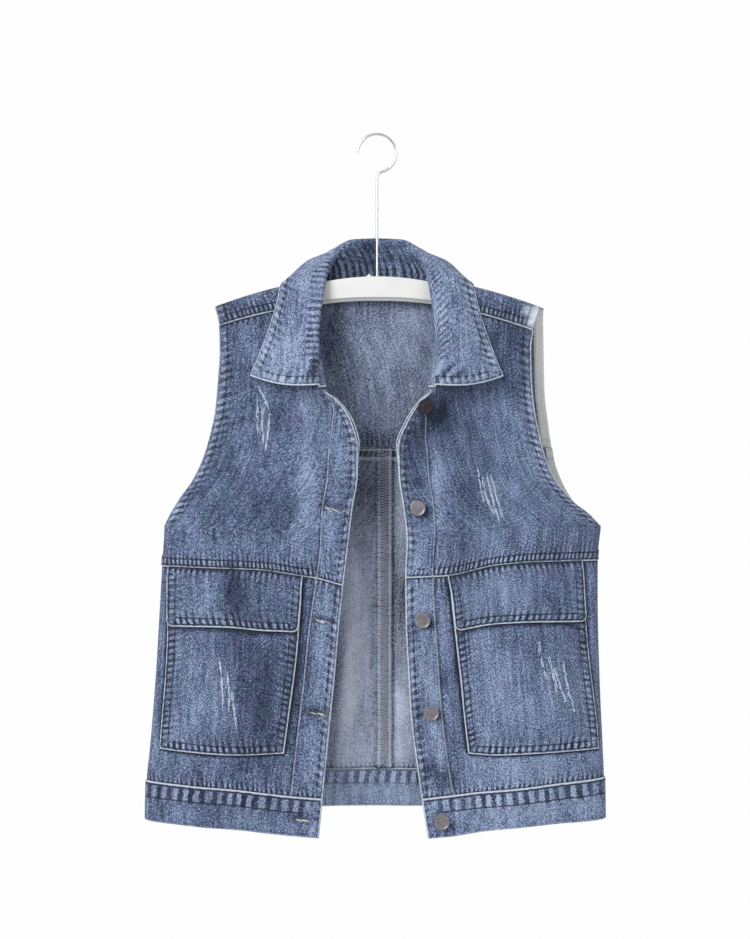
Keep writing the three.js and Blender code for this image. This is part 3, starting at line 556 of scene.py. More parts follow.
class Tint:
    """Lighter, darker and worn places of the cloth, set in the plane of the view.

    They are partly the cloth's own fade and wear and partly painted light and shade: pale and
    dark bands of folds, shadow under the collar and shadows beside the buttons.
    """

    NAMES = "x z wide tall tone lean wear"

    def __init__(self, rows: Sequence[Sequence[float]]) -> None:
        """Takes rows of values under those names, where a row may leave out its last ones."""
        size = len(self.NAMES.split())
        self.rows = table(self.NAMES, [(*row, *[0.0] * (size - len(row))) for row in rows])

    def __call__(self, points: Array) -> tuple[Array, Array]:
        """The tone and the wear at points."""
        tone, wear = np.zeros(points.shape[:-1]), np.zeros(points.shape[:-1])
        for x, z, wide, tall, light, lean, worn in each(self.rows):
            down = points[..., 2] - z
            share = np.exp(
                -(((points[..., 0] - x - lean * down) / wide) ** 2) - (down / tall) ** 2)
            tone, wear = tone + light * share, wear + worn * share
        return tone, wear


# Partly the cloth's own fade and wear, partly painted light and shade: the pale band at (-77,
# -350) is partly fade and partly painted highlight of a fold.
FRONT_TINT = Tint([
    (-155, -280, 28, 75, -0.12), (-107, -317, 18, 60, -0.17), (-77, -350, 11, 100, 0.22, -0.08),
    (-123, -421, 30, 40, -0.26), (-178, -427, 22, 24, -0.07), (-84, -410, 12, 30, 0.08),
    (-46, -355, 12, 40, 0.07), (-60, -592, 10, 50, 0.08), (50, -515, 16, 20, 0.1),
    (62, -680, 14, 40, 0.1), (-53, -454, 12, 32, 0.13), (-60, -560, 14, 210, 0.07, 0.1),
    (-156, -509, 16, 30, -0.34), (-115, -509, 13, 24, -0.08), (-192, -505, 14, 24, 0.1),
    (-197, -614, 22, 62, 0.14), (-129, -614, 26, 80, -0.4), (-88, -603, 10, 100, -0.3, 0.12),
    # (152, -245), (70, -312) and (42, -352) are painted shadow under the wearer's left collar leaf
    # and its end.
    (-167, -700, 70, 18, -0.1), (-75, -690, 12, 30, 0.1), (152, -245, 26, 46, -0.34),
    (70, -312, 13, 24, -0.64), (42, -352, 16, 44, -0.32), (97, -317, 20, 45, -0.1),
    (135, -317, 18, 50, 0.08), (86, -416, 16, 40, -0.14), (66, -388, 7, 62, 0.22),
    (172, -345, 14, 40, 0.13), (148, -509, 22, 24, 0.2), (197, -509, 15, 24, -0.07),
    (132, -614, 27, 62, 0.2), (180, -650, 22, 40, 0.08), (163, -697, 60, 20, 0.26),
    (165, -745, 85, 26, 0.32), (237, -600, 9, 150, 0.14), (58, -600, 14, 190, 0.16, -0.1),
    (72, -712, 10, 14, -0.4), (58, -700, 8, 8, -0.3, 0.4), (-130, -196, 60, 14, -0.17),
    (130, -196, 60, 14, -0.14), (178, -204, 7, 13, 0.3, 0, 1.5), (166, -196, 5, 5, 0.2, 0, 0.6),
    # (54, -305) to (80, -762) are painted shadows to the lower right of the five buttons.
    (169, -209, 4, 4, 0.2, 0, 0.6), (54, -305, 8, 12, -0.5), (54, -418, 6, 8, -0.5),
    (59, -541, 6, 7, -0.45), (68, -642, 6, 7, -0.45), (80, -762, 6, 7, -0.45),
    (-51, -412, 11, 4, -0.4), (-62, -535, 11, 4, -0.4), (-66, -637, 13, 4.5, -0.45),
    (-84, -753, 13, 4.5, -0.45), (-70, -765, 4, 8, 0.35, 0.5), (-77, -768, 3, 7, -0.35, 0.5),
    (-57, -405, 5, 9, -0.2), (45, -385, 8, 6, -0.25), (40, -430, 7, 8, -0.2, 0.3),
    (-150, -460, 60, 10, 0.06), (130, -455, 50, 12, -0.06),
])
COLLAR_TINT = Tint([
    (-70, -261, 4.5, 15, -0.7, 0.3), (-77, -262, 3.5, 12, 0.3, 0.3), (-63, -258, 4, 12, 0.3, 0.5),
    (-68, -273, 6, 8, -0.5), (-90, -277, 9, 3, -0.2), (-116, -273, 9, 3, -0.2),
    (73, -267, 3.2, 10, -0.65, 0.9), (80, -267, 3, 10, 0.4, 0.9), (87, -269, 3.2, 8, -0.5, 1.2),
    (67, -262, 3, 11, 0.35, 0.4), (104, -276, 10, 3, -0.2), (126, -272, 8, 3, -0.22),
    (-80, -195, 13, 36, -0.05, 0.2), (92, -200, 12, 40, -0.06),
])
# (-50, -215) is painted shade on the inside of the yoke, toward the wearer's right.
YOKE_INSIDE_TINT = Tint([
    (-50, -215, 17, 60, -0.3), (40, -225, 26, 42, 0.1), (-26, -292, 16, 42, -0.1),
    (0, -338, 90, 12, -0.16), (0, -260, 150, 70, 0.06),
])
# (-46, -640) is painted shadow just inside the wearer's right front edge, and (-31, -610) a
# painted highlight on the fold ridge beside it.
INSIDE_TINT = Tint([
    (-10, -388, 24, 30, -0.18), (-24, -500, 16, 60, 0.4), (-31, -610, 13, 80, 0.9, 0.08),
    (-46, -640, 6, 90, -0.35, 0.1), (-12, -620, 9, 90, 0.32), (24, -420, 10, 40, 0.32),
    (0, -353, 300, 4, -0.3), (0, -349, 300, 0.8, 0.3, 0, 0.6), (0, -358.5, 300, 0.8, 0.3, 0, 0.55),
    (-17, -470, 3, 110, -0.16), (-38, -470, 4, 90, 0.14), (26, -520, 9, 45, -0.26),
    (27, -645, 14, 50, 0.52), (0, -692, 60, 12, 0.22), (8, -400, 7, 50, -0.16),
    (8, -560, 7, 110, 0.2), (14.6, -540, 1.2, 400, 0.3, 0, 0.2),
    (2.2, -540, 0.9, 400, 0.4, 0, 0.4), (18.2, -540, 1.6, 400, -0.45),
])
BAND_INSIDE_TINT = Tint([(0, -730, 300, 60, 0.32)])
BACK_TINT = Tint([
    (-90, -280, 50, 50, 0.08), (95, -275, 45, 55, 0.07), (0, -300, 30, 60, -0.1),
    (-60, -470, 22, 100, 0.12, 0.05), (72, -490, 20, 110, 0.12, -0.04),
    (-150, -520, 30, 90, -0.14), (160, -540, 30, 100, -0.14), (10, -620, 30, 70, 0.12),
    (-110, -660, 40, 40, 0.08), (120, -650, 36, 45, -0.08), (-200, -600, 16, 120, 0.08),
    (205, -620, 16, 120, 0.08), (0, -735, 120, 20, 0.06),
])


@dataclass(frozen=True)
class Seam:
    """A sewn line or a folded edge, and what it does to the cloth beside it.

    Distances are counted from the line, on its side. The cloth puckers in short ticks
    between the line and `high`, pale where it stands up, partly worn and partly painted
    highlight, and dark between as painted shade. The shadow beside the line is painted too.
    """

    axis: Axis
    knot: int
    side: int
    rows: tuple[float, ...] = ()
    lap: float = 0.0
    ticks: float = 0.0
    high: float = 8.6
    strength: float = 1.0
    edge: float = 0.0
    painted_shadow: float = 0.0
    spread: float = 1.6
    span: tuple[int, int] | None = None
    above: float = -math.inf
    below: float = math.inf
    trim: float = 2.0
    slant: float = 0.3
    pale: bool = False


ARMHOLE_HEM = dict(rows=(8.6,), ticks=8.4, high=8.2, strength=0.75, slant=0.05)
FELLED = dict(rows=(2.4, 8.8), lap=1.0, high=8.8)
BAND_SEAM = Seam(
    ROW, 0, 1, rows=(2.0, 16.4), ticks=12.0, high=16.4, edge=0.95, strength=0.85, slant=0.08,
    trim=1)
BAND_HEM = Seam(ROW, -1, -1, edge=0.25)
TOPSTITCHED = dict(rows=(2.2, 9.0), ticks=7.0, high=9.0, trim=2.2)
FRONT_HEM = dict(rows=(6.6,), ticks=9.5, high=7.0, edge=0.95)
STRIP_EDGE = {Side.RIGHT: 0.65, Side.LEFT: 0.4}


@dataclass
class SewnCloth:
    """One piece of cloth as a closed wall, with its seams, its wear, the painted light and
    shade on its colour, and its sewing thread.
    """

    LAP_WIDTH = 11.0
    LAP_RISE = 1.1
    FAR = 99.0

    name: str
    grid: Grid
    seams: Sequence[Seam]
    flat: tuple[float, float]
    area: float
    seed: int
    inner: Array | float = 0.0
    outer: Array | float = 1.6
    # Lightness offset: the cloth's fade, and painted shade where a piece is given it.
    fade: Array | float = 0.0
    reverse: float = 1.0
    rim: float = 0.3
    rests_on: tuple[str, ...] = ()
    tint: Tint | None = None
    lining_tint: Tint | None = None
    through: float = 0.4
    hem: Array | float = 0.0
    worn: Array | float = 0.0

    def __post_init__(self) -> None:
        """Works out what the seams do to the cloth."""
        shape = self.grid.shape
        self.lift, self.shade, self.edge, self.phase, self.strength, self.rows = (
            np.zeros(shape) for _ in range(6))
        self.away, self.second = np.full(shape, self.FAR), np.full(shape, self.FAR)
        self.high = np.full(shape, 8.0)
        self.noise = Noise(self.seed)
        for number, seam in enumerate(self.seams):
            self._sew(seam, 7.3 * number + 0.5)
        self.strength *= ease((self.second - self.away) / 4.0)

    def _away(self, seam: Seam) -> tuple[Array, Array]:
        """Each point's distance from a seam's line, and its length along that line."""
        way, lengths = seam.axis.value, (self.grid.down, self.grid.across)
        line = lengths[way].take([self.grid.knot(seam.axis, seam.knot)], axis=way)
        return seam.side * (lengths[way] - line), lengths[1 - way]

    def _within(self, seam: Seam) -> Array:
        """1 where the seam is, and 0 past its ends."""
        z = self.grid.points[..., 2]
        inside = ease((z - seam.above) / 6) * ease((seam.below - z) / 6)
        if seam.span is not None:
            other = Axis(1 - seam.axis.value)
            first, last = (self.grid.knot(other, k) for k in seam.span)
            number = np.indices(self.grid.shape)[other.value]
            inside = inside * ((number >= first) & (number <= last))
        return inside

    def _sew(self, seam: Seam, row: float) -> None:
        """Adds one seam's lap, stitch furrows, painted shadow beside it, puckers and worn
        edge, uneven by a row of the noise.
        """
        (away, along), inside = self._away(seam), self._within(seam)
        beside = away > -0.01
        self.lift += inside * seam.lap * self.LAP_RISE * beside * ease(
            (self.LAP_WIDTH + 1.5 - away) / 1.5)
        for stitch in seam.rows:
            self.lift -= 0.35 * np.exp(-((away - stitch) ** 2)) * inside
        # Painted shadow: darkens the cloth just beside the line, where one layer shades the next.
        self.shade += seam.painted_shadow * inside * beside * np.exp(-((away / seam.spread) ** 2))
        size, phase = np.ones(self.grid.shape), np.zeros(self.grid.shape)
        if seam.ticks:
            wander = 0.4 * self.noise(along / (2.6 * seam.ticks), row)
            phase = along / seam.ticks + wander + seam.slant * away / 10
            size = 0.85 + 0.55 * self.noise(along / (1.7 * seam.ticks), row + 3)
        if seam.ticks > 6:
            low, high = 0.2 * seam.high, seam.high
            band = ease((away - low) / 1.4 + 0.5) * ease((high - away) / 1.6 + 0.5)
            past = np.exp(-np.clip(away - high, 0.0, None) / 6.0) * (away > high)
            self.lift += (inside * size * seam.strength * np.cos(2 * math.pi * phase)
                          * (0.5 * band + 0.25 * past))
        if not (seam.ticks or seam.edge):
            return
        valid = beside & (inside > 0.01)
        nearer = valid & (away < self.away)
        self.second = np.where(
            nearer, self.away, np.where(valid, np.minimum(self.second, away), self.second))
        for name, value in (
                ("away", away), ("phase", phase), ("high", seam.high),
                ("rows", float(len(seam.rows))),
                ("strength", inside * size * (seam.strength if seam.ticks else 0)),
                ("edge", inside * seam.edge)):
            setattr(self, name, np.where(nearer, value, getattr(self, name)))

    def _wall(self, inside: bool = False) -> Array:
        """The points of the wall's outer or inner face, with what the seams add."""
        lift = np.clip(0.5 * self.lift, -0.2, 0.2) if inside else self.lift
        off = np.asarray(self.inner if inside else self.outer) + lift
        return self.grid.points + self.grid.normals * off[..., None]

    def _ring(self) -> tuple[Array, Array]:
        """The rows and columns of the grid's border, once round."""
        index = np.arange(math.prod(self.grid.shape)).reshape(self.grid.shape)
        border = (index[0, :-1], index[:-1, -1], index[-1, :0:-1], index[:0:-1, 0])
        return np.divmod(np.concatenate(border), self.grid.shape[1])

    def build(self, finish: Finish, slot: str = "denim") -> None:
        """Args:
            finish: its material.
            slot: not used.
        """
        rows, columns = self.grid.shape
        outer, inner = self._wall(), self._wall(inside=True)
        i, j = self._ring()
        inside = outer[np.clip(i, 1, rows - 2), np.clip(j, 1, columns - 2)]
        thick = np.linalg.norm(outer[i, j] - inner[i, j], axis=-1, keepdims=True)
        middle = (outer[i, j] + inner[i, j]) / 2 + unit(outer[i, j] - inside) * thick * self.rim
        count = rows * columns
        index = np.arange(count).reshape(rows, columns)
        quads = np.stack([index[:-1, :-1], index[1:, :-1], index[1:, 1:], index[:-1, 1:]], -1)
        quads, ring = quads.reshape(-1, 4), i * columns + j
        mid = 2 * count + np.arange(len(ring))
        turn, mid_turn = np.roll(ring, -1), np.roll(mid, -1)
        faces = np.concatenate([
            quads, (quads + count)[:, ::-1], np.stack([ring, turn, mid_turn, mid], -1),
            np.stack([mid, mid_turn, turn + count, ring + count], -1)])
        points = np.concatenate([outer.reshape(-1, 3), inner.reshape(-1, 3), middle])
        made = mesh_object(
            self.name, points, faces[:, ::-1] if self.grid.turned else faces, finish)
        self._paint(made)
        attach(made, BODY)
        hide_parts(self.name)
        list(self.rests_on)
        LOG.info("%s: %d faces", self.name, len(faces))

    def _spread(self, outside: Sequence[Any], inside: Sequence[Any]) -> Array:
        """Values for the mesh's vertices: its outer face, its inner face and its border."""
        face, back = (np.stack(np.broadcast_arrays(*values, self.edge), -1)[..., :-1]
                      for values in (outside, inside))
        size = face.shape[-1]
        return np.concatenate([face.reshape(-1, size), back.reshape(-1, size), face[self._ring()]])

    def _paint(self, made: Item) -> None:
        """Lays the piece's tone and its seams on its mesh."""
        both, through = self._spread, self.through
        tone, worn = self.tint(self.grid.points) if self.tint else (0.0, self.worn)
        lining, rubbed = self.lining_tint(self.grid.points) if self.lining_tint else (0.0, 0.0)
        weave = (self.grid.across, self.grid.down, 37.0 * self.seed)
        # tone: fade with painted light and shade from the tints, worn edge, painted shade beside
        # the seams, and the share of the reverse face.
        lay(made, "tone", "FLOAT_COLOR", both(
            (0.5 + self.fade + tone, self.edge, self.shade, 0.0),
            (0.5 + lining, (0.1 + through) * self.edge, through * self.shade, self.reverse)))
        lay(made, "seam", "FLOAT_COLOR", both(
            (self.away, self.phase, self.strength, self.high),
            (self.away, self.phase, through * self.strength, self.high)))
        lay(made, "rows", "FLOAT", both((self.rows,), (self.rows,)))
        lay(made, "rub", "FLOAT", both((worn,), (rubbed - self.hem,)))
        lay(made, "weave", "FLOAT_VECTOR", both(weave, weave) * MM)

    def paths(self, inside: bool = False, pale: bool = False) -> Rows:
        """The lines of sewing thread on this piece.

        Args:
            inside: the thread's side, the wall's inner face where true.
            pale: whether the pale thread is wanted, or the blue.

        Yields:
            The points of a row, and the normals there.
        """
        points = self._wall(inside)
        normals = -self.grid.normals if inside else self.grid.normals
        for seam in self.seams:
            for stitch in seam.rows if seam.pale == pale else ():
                yield from self._path(seam, stitch, points, normals)

    def _path(self, seam: Seam, stitch: float, points: Array, normals: Array) -> Rows:
        """One row of thread, at a distance from a seam's line."""
        away, along = self._away(seam)
        inside = self._within(seam) > 0.5
        if seam.axis is COLUMN:
            away, along, inside = away.T, along.T, inside.T
            points, normals = points.transpose(1, 0, 2), normals.transpose(1, 0, 2)
        end = along.max(axis=1).mean() - seam.trim
        line, ups = [], []
        for k in range(away.shape[1]):
            order = np.argsort(away[:, k])
            near = away[order, k]
            place = np.interp(stitch, near, order)
            low = min(int(place), away.shape[0] - 2)
            if near[0] <= stitch <= near[-1] and inside[low, k] \
                    and seam.trim <= along[low, k] <= end:
                line.append(mix(points[low, k], points[low + 1, k], place - low))
                ups.append(mix(normals[low, k], normals[low + 1, k], place - low))
        if len(line) > 2:
            yield np.array(line), np.array(ups)


def mesh_object(name: str, points: Array, faces: Array | list[list[int]],
                finish: Finish, smooth: bool = True) -> Item:
    """An object from points in millimetres.

    Args:
        name: its name.
        points: one row for each vertex.
        faces: vertex numbers, one row for each face.
        finish: its material.
        smooth: whether its faces are shaded smooth.

    Returns:
        The new object.
    """
    mesh = bpy.data.meshes.new(name)
    rows = faces.tolist() if isinstance(faces, np.ndarray) else faces
    mesh.from_pydata((points * MM).tolist(), [], rows)
    mesh.polygons.foreach_set("use_smooth", [smooth] * len(mesh.polygons))
    mesh.materials.append(finish)
    mesh.update()
    return in_scene(name, mesh)


def in_scene(name: str, data: bpy.types.ID) -> Item:
    """A new object in the scene, with its mesh, lamp or camera."""
    made = bpy.data.objects.new(name, data)
    bpy.context.scene.collection.objects.link(made)
    return made


def sew_on(made: Item) -> None:
    """Fixes a sewn detail to the vest."""
    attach(made, BODY)
    LOG.info("%s: %d faces", made.name, len(made.data.polygons))


def lay(made: Item, name: str, kind: str, values: Array) -> None:
    """Gives an object's vertices an attribute: one value, a vector or a colour each."""
    layer = made.data.attributes.new(name, kind, "POINT")
    key = {"FLOAT": "value", "FLOAT_VECTOR": "vector", "FLOAT_COLOR": "color"}[kind]
    layer.data.foreach_set(key, np.asarray(values, np.float32).ravel())


def operator(operation: str, turned: bool = False) -> Callable[[Socket, Any], Socket]:
    """A Python operator that adds a Math node, with its values turned round or not."""
    return lambda a, b: a.math(operation, *((b, a) if turned else (a, b)))


class Socket:
    """A shader value that plain Python arithmetic works on."""

    __add__ = __radd__ = operator("ADD")
    __mul__ = __rmul__ = operator("MULTIPLY")
    __sub__, __rsub__ = operator("SUBTRACT"), operator("SUBTRACT", turned=True)

    def __init__(self, graph: Graph, output: bpy.types.NodeSocket) -> None:
        """Wraps an output of a node."""
        self.graph, self.output = graph, output

    def math(self, operation: str, *values: Socket | float, clamp: bool = False) -> Socket:
        """A Math node on values."""
        return self.graph.add(
            "ShaderNodeMath", dict(enumerate(values)),
            {"operation": operation, "use_clamp": clamp})

    def __truediv__(self, other: Socket) -> Socket:
        """This value over another."""
        return self.math("DIVIDE", self, other)

    def sine(self) -> Socket:
        """The sine of this value."""
        return self.math("SINE", self)

    def absolute(self) -> Socket:
        """This value without its sign."""
        return self.math("ABSOLUTE", self)

    def clamped(self) -> Socket:
        """This value held between 0 and 1."""
        return self.math("ADD", self, 0.0, clamp=True)


class Graph:
    """The nodes of a material or of the world."""

    def __init__(self, owner: Finish | bpy.types.World) -> None:
        """Starts with no node."""
        owner.use_nodes = True
        self.owner, self.tree = owner, owner.node_tree
        self.tree.nodes.clear()

    def add(self, kind: str, inputs: dict[int | str, Any] | None = None,
            settings: dict[str, Any] | None = None, output: int | str = 0) -> Socket:
        """Adds a node.

        Args:
            kind: its type's name.
            inputs: the values or links of its sockets.
            settings: its properties.
            output: the output that is wanted.

        Returns:
            That output, wrapped.
        """
        node = self.tree.nodes.new(kind)
        for key, value in (settings or {}).items():
            setattr(node, key, value)
        for key, value in (inputs or {}).items():
            if isinstance(value, Socket):
                self.tree.links.new(value.output, node.inputs[key])
            else:
                node.inputs[key].default_value = value
        return Socket(self, node.outputs[output])

    def place(self) -> Socket:
        """Object coordinates."""
        return self.add("ShaderNodeTexCoord", output="Object")

    def attribute(self, name: str, output: str = "Fac") -> Socket:
        """An attribute's values."""
        return self.add("ShaderNodeAttribute", {}, {"attribute_name": name}, output)

    def parts(self, colour: Socket) -> tuple[Socket, ...]:
        """A colour's three values."""
        return tuple(self.add("ShaderNodeSeparateColor", {0: colour}, output=k) for k in range(3))

    def noise(self, vector: Socket, scale: float, detail: float = 2.0,
              roughness: float = 0.6) -> Socket:
        """Noise from 0 to 1 on a vector."""
        return self.add("ShaderNodeTexNoise", {
            "Vector": vector, "Scale": scale, "Detail": detail, "Roughness": roughness})

    def stretched(self, vector: Socket, scale: Colour, turn: float = 0.0) -> Socket:
        """A vector stretched and turned about Z."""
        return self.add("ShaderNodeMapping", {
            "Vector": vector, "Scale": scale, "Rotation": (0.0, 0.0, turn)})

    def blend(self, share: Socket | float, a: Socket | Colour, b: Socket | Colour) -> Socket:
        """A colour between two others."""
        full = lambda c: c if isinstance(c, Socket) else (*c, 1.0)
        return self.add(
            "ShaderNodeMix", {0: share, 6: full(a), 7: full(b)}, {"data_type": "RGBA"}, 2)

    def ramp(self, share: Socket, *stops: tuple[float, Colour]) -> Socket:
        """A colour read from a ramp's stops."""
        made = self.add("ShaderNodeValToRGB", {0: share})
        elements = made.output.node.color_ramp.elements
        while len(elements) < len(stops):
            elements.new(0.5)
        for element, (place, colour) in zip(elements, stops):
            element.position, element.color = place, (*colour, 1.0)
        return made

    def surface(self, colour: Socket | Colour, roughness: Socket, height: Socket,
                bump: tuple[float, float], **more: float) -> Finish:
        """Ends the material in one surface.

        Args:
            colour: its base colour.
            roughness: its roughness.
            height: the pattern that stands up on it.
            bump: how strongly and how far the pattern stands up.
            more: its other values, where a name's words are parted by lines below.

        Returns:
            The material.
        """
        normal = self.add("ShaderNodeBump", {
            "Strength": bump[0], "Distance": bump[1], "Height": height})
        shader = self.add("ShaderNodeBsdfPrincipled", {
            "Base Color": colour, "Roughness": roughness, "Normal": normal,
            **{name.replace("_", " "): value for name, value in more.items()}})
        return self.close(shader)

    def close(self, shader: Socket, kind: str = "Material") -> Any:
        """Links the shader to the output of the material or the world."""
        node = self.tree.nodes.new(f"ShaderNodeOutput{kind}")
        self.tree.links.new(shader.output, node.inputs["Surface"])
        return self.owner


def screen(colour: tuple[int, int, int]) -> Colour:
    """A colour as a screen shows it, made linear."""
    share = np.array(colour) / 255.0
    linear = np.where(share <= 0.04045, share / 12.92, ((share + 0.055) / 1.055) ** 2.4)
    return tuple(float(c) for c in linear)


@dataclass(frozen=True)
class Denim:
    """Stone-washed denim: mottled, grained along its twill, pale where it is worn.

    Its colour also takes painted shade beside seams, in stitch furrows and between puckers,
    and painted highlight on pucker ridges.
    """

    name: str = "denim"
    deep: Colour = screen((22, 29, 50))
    middle: Colour = screen((86, 101, 133))
    pale: Colour = screen((164, 180, 207))
    worn: Colour = screen((206, 215, 224))
    hem: Colour = screen((246, 245, 242))
    reverse_deep: Colour = screen((38, 40, 58))
    reverse_pale: Colour = screen((190, 199, 221))
    reverse_bright: Colour = screen((228, 229, 241))
    violet: Colour = screen((112, 108, 152))
    teal: Colour = screen((84, 116, 130))
    twill_pitch: float = 1.0
    twill_turn: float = math.radians(28)
    base: float = 0.4

    def make(self) -> Finish:
        """The material."""
        graph = Graph(bpy.data.materials.new(self.name))
        (tone, reverse), (seam, high) = (
            [graph.attribute(name, output) for output in ("Color", "Alpha")]
            for name in ("tone", "seam"))
        fade, edge, shade = graph.parts(tone)
        away, phase, strength = graph.parts(seam)
        rub, sewn = graph.attribute("rub"), graph.attribute("rows")
        weave, place = graph.attribute("weave", "Vector"), graph.place()
        cloud = graph.noise(place, 12.0, 2.0, 0.55)
        patch = graph.noise(graph.stretched(place, (1.0, 1.0, 0.5)), 55.0, 3.0)
        grain = graph.noise(weave, 640.0, 2.0, 0.75)
        fleck = graph.noise(graph.stretched(weave, (1.0, 0.5, 1.0), 0.5), 1000.0, 1.0)
        streak = graph.noise(graph.stretched(weave, (1.0, 0.06, 1.0)), 380.0)
        hue, ragged = graph.noise(place, 60.0, 3.0), graph.noise(weave, 260.0)
        turned = graph.stretched(weave, (1.0, 1.0, 1.0), self.twill_turn)
        diagonal = graph.add("ShaderNodeSeparateXYZ", {0: turned})
        twill = (diagonal * (2 * math.pi / (self.twill_pitch * MM))).sine()
        light, dark, rows = self._puckers(away, phase, strength, high, sewn, ragged)
        line = edge * (1.0 - ((away + (ragged - 0.5) * 2.4 - 0.35) * 1.6).clamped())
        inside = edge * (1.0 - ((away - 2.0).absolute() * 0.95).clamped())
        # Painted light and shade in the colour: shade darkens beside seams, rows darkens the
        # stitch furrows, dark darkens the troughs between puckers, and light lightens their
        # ridges, partly as wear and partly as painted highlight.
        soft = (self.base + (fade - 0.5) + (cloud - 0.5) * 0.3 + (patch - 0.5) * 0.7
                - shade * 1.3 + light * 0.22 - dark * 0.55 - rows * 0.75 - inside * 0.35)
        rough = (grain - 0.5) * 2.1 + (fleck - 0.5) * 1.7 + (streak - 0.5) * 0.8 + twill * 0.04
        face = graph.ramp(soft + rough, (0.0, self.deep), (0.45, self.middle), (1.0, self.pale))
        back = graph.ramp((soft + rough * 0.8 + 0.06) * 0.7, (0.0, self.reverse_deep),
                          (0.7, self.reverse_pale), (1.0, self.reverse_bright))
        colour = graph.blend(reverse, face, back)
        colour = graph.blend(((hue - 0.5) * 2.6).clamped() * 0.4, colour, self.violet)
        colour = graph.blend(((0.5 - hue) * 2.6).clamped() * 0.4, colour, self.teal)
        rubbed = ((light * 0.1 + rub * 0.9) * (0.4 + grain * 1.2) + line * 0.85).clamped()
        colour = graph.blend(rubbed, colour, self.worn)
        colour = graph.blend((rub * (fleck * -0.7 - 0.55)).clamped(), colour, self.hem)
        height = (grain * 0.5 + twill * 0.2 + streak * 0.3 + fleck * 0.25
                  + light * 0.8 - dark * 0.8 - rows * 0.7)
        return graph.surface(
            colour, 0.82 + grain * 0.14, height, (0.6, 0.0006), Sheen_Weight=0.1,
            Sheen_Roughness=0.5, Specular_IOR_Level=0.25)

    def _puckers(self, away: Socket, phase: Socket, strength: Socket, high: Socket,
                 sewn: Socket, ragged: Socket) -> tuple[Socket, Socket, Socket]:
        """The puckers beside a seam, drawn from the distance to it.

        Args:
            away: the distance from the seam's line.
            phase: the count of puckers along it.
            strength: how strong they are.
            high: the far side of their strip.
            sewn: the count of sewn rows; the strip inside a single row stands up in lobes.
            ragged: noise that makes them uneven.

        Returns:
            How much the cloth stands up, falls back and is drawn in at its stitches.
        """
        share = away / high + (ragged - 0.5) * 0.25
        band = ((share - 0.12) * 9.0).clamped() * ((1.05 - share) * 9.0).clamped()
        tail = (1.0 - (share - 1.0) * 0.6).clamped() * ((share - 1.0) * 9.0).clamped()
        wave = (phase * (2 * math.pi) + (ragged - 0.5) * 2.8 + math.pi / 2).sine()
        up = (wave * 1.3 + 0.55).clamped()
        reach = strength * (band + tail * 0.45)
        near = (1.0 - ((away - 2.2).absolute() * 0.9).clamped()) * (sewn - 1.0).clamped()
        far = (1.0 - ((away - high).absolute() * 0.85).clamped()) * sewn.clamped()
        lobed = 1.0 - (sewn - 1.0).absolute().clamped()
        spot = 1.0 - lobed * (1.0 - ((share - 0.4) * 2.2).clamped())
        far = far * (1.0 - lobed * up * 0.8)
        return (reach * (up + lobed * band * 0.6), reach * (1.0 - up) * (spot + lobed * 0.3),
                (strength * 1.8).clamped() * (near + far))


@dataclass(frozen=True)
class Thread:
    """Twisted cotton thread."""

    name: str
    colour: Colour
    dark: Colour

    def make(self) -> Finish:
        """The material."""
        graph = Graph(bpy.data.materials.new(self.name))
        place = graph.place()
        strands, tint = graph.noise(place, 1400.0), graph.noise(place, 60.0, 2.0, 0.5)
        share = (strands * 0.8 + tint * 0.5 - 0.15).clamped()
        return graph.surface(
            graph.blend(share, self.dark, self.colour), 0.75 + strands * 0.15, strands,
            (0.4, 0.0002), Sheen_Weight=0.1)


@dataclass(frozen=True)
class Metal:
    """Plated metal, lightly brushed, with duller patches."""

    name: str
    colour: Colour
    dull: Colour
    rough: float
    brushed: Colour = (1.0, 1.0, 0.1)
    grain: float = 0.12

    def make(self) -> Finish:
        """The material."""
        graph = Graph(bpy.data.materials.new(self.name))
        place = graph.place()
        lines = graph.noise(graph.stretched(place, self.brushed), 2600.0)
        share = (graph.noise(place, 260.0) * 1.4 - 0.2).clamped()
        return graph.surface(
            graph.blend(share, self.colour, self.dull), self.rough + lines * 0.12, lines,
            (self.grain, 0.0001), Metallic=1.0)


@dataclass(frozen=True)
class WhiteLacquer:
    """White lacquer on the hanger's board, with faint orange peel and painted grey shade
    along its lower lip.
    """

    name: str = "hanger_white"
    colour: Colour = screen((224, 224, 221))
    shadow: Colour = screen((210, 210, 207))
    # Painted shade: grey for the board's lower lip, which faces down out of the light.
    lip: Colour = screen((152, 152, 150))

    def make(self) -> Finish:
        """The material."""
        graph = Graph(bpy.data.materials.new(self.name))
        clouds, peel = (graph.noise(graph.place(), scale, 2.0, 0.5) for scale in (30.0, 700.0))
        white = graph.blend(clouds, self.colour, self.shadow)
        # The lip attribute paints the lower lip grey as shade.
        return graph.surface(
            graph.blend(graph.attribute("lip"), white, self.lip), 0.28 + peel * 0.08, peel,
            (0.06, 0.0002), Coat_Weight=0.3)


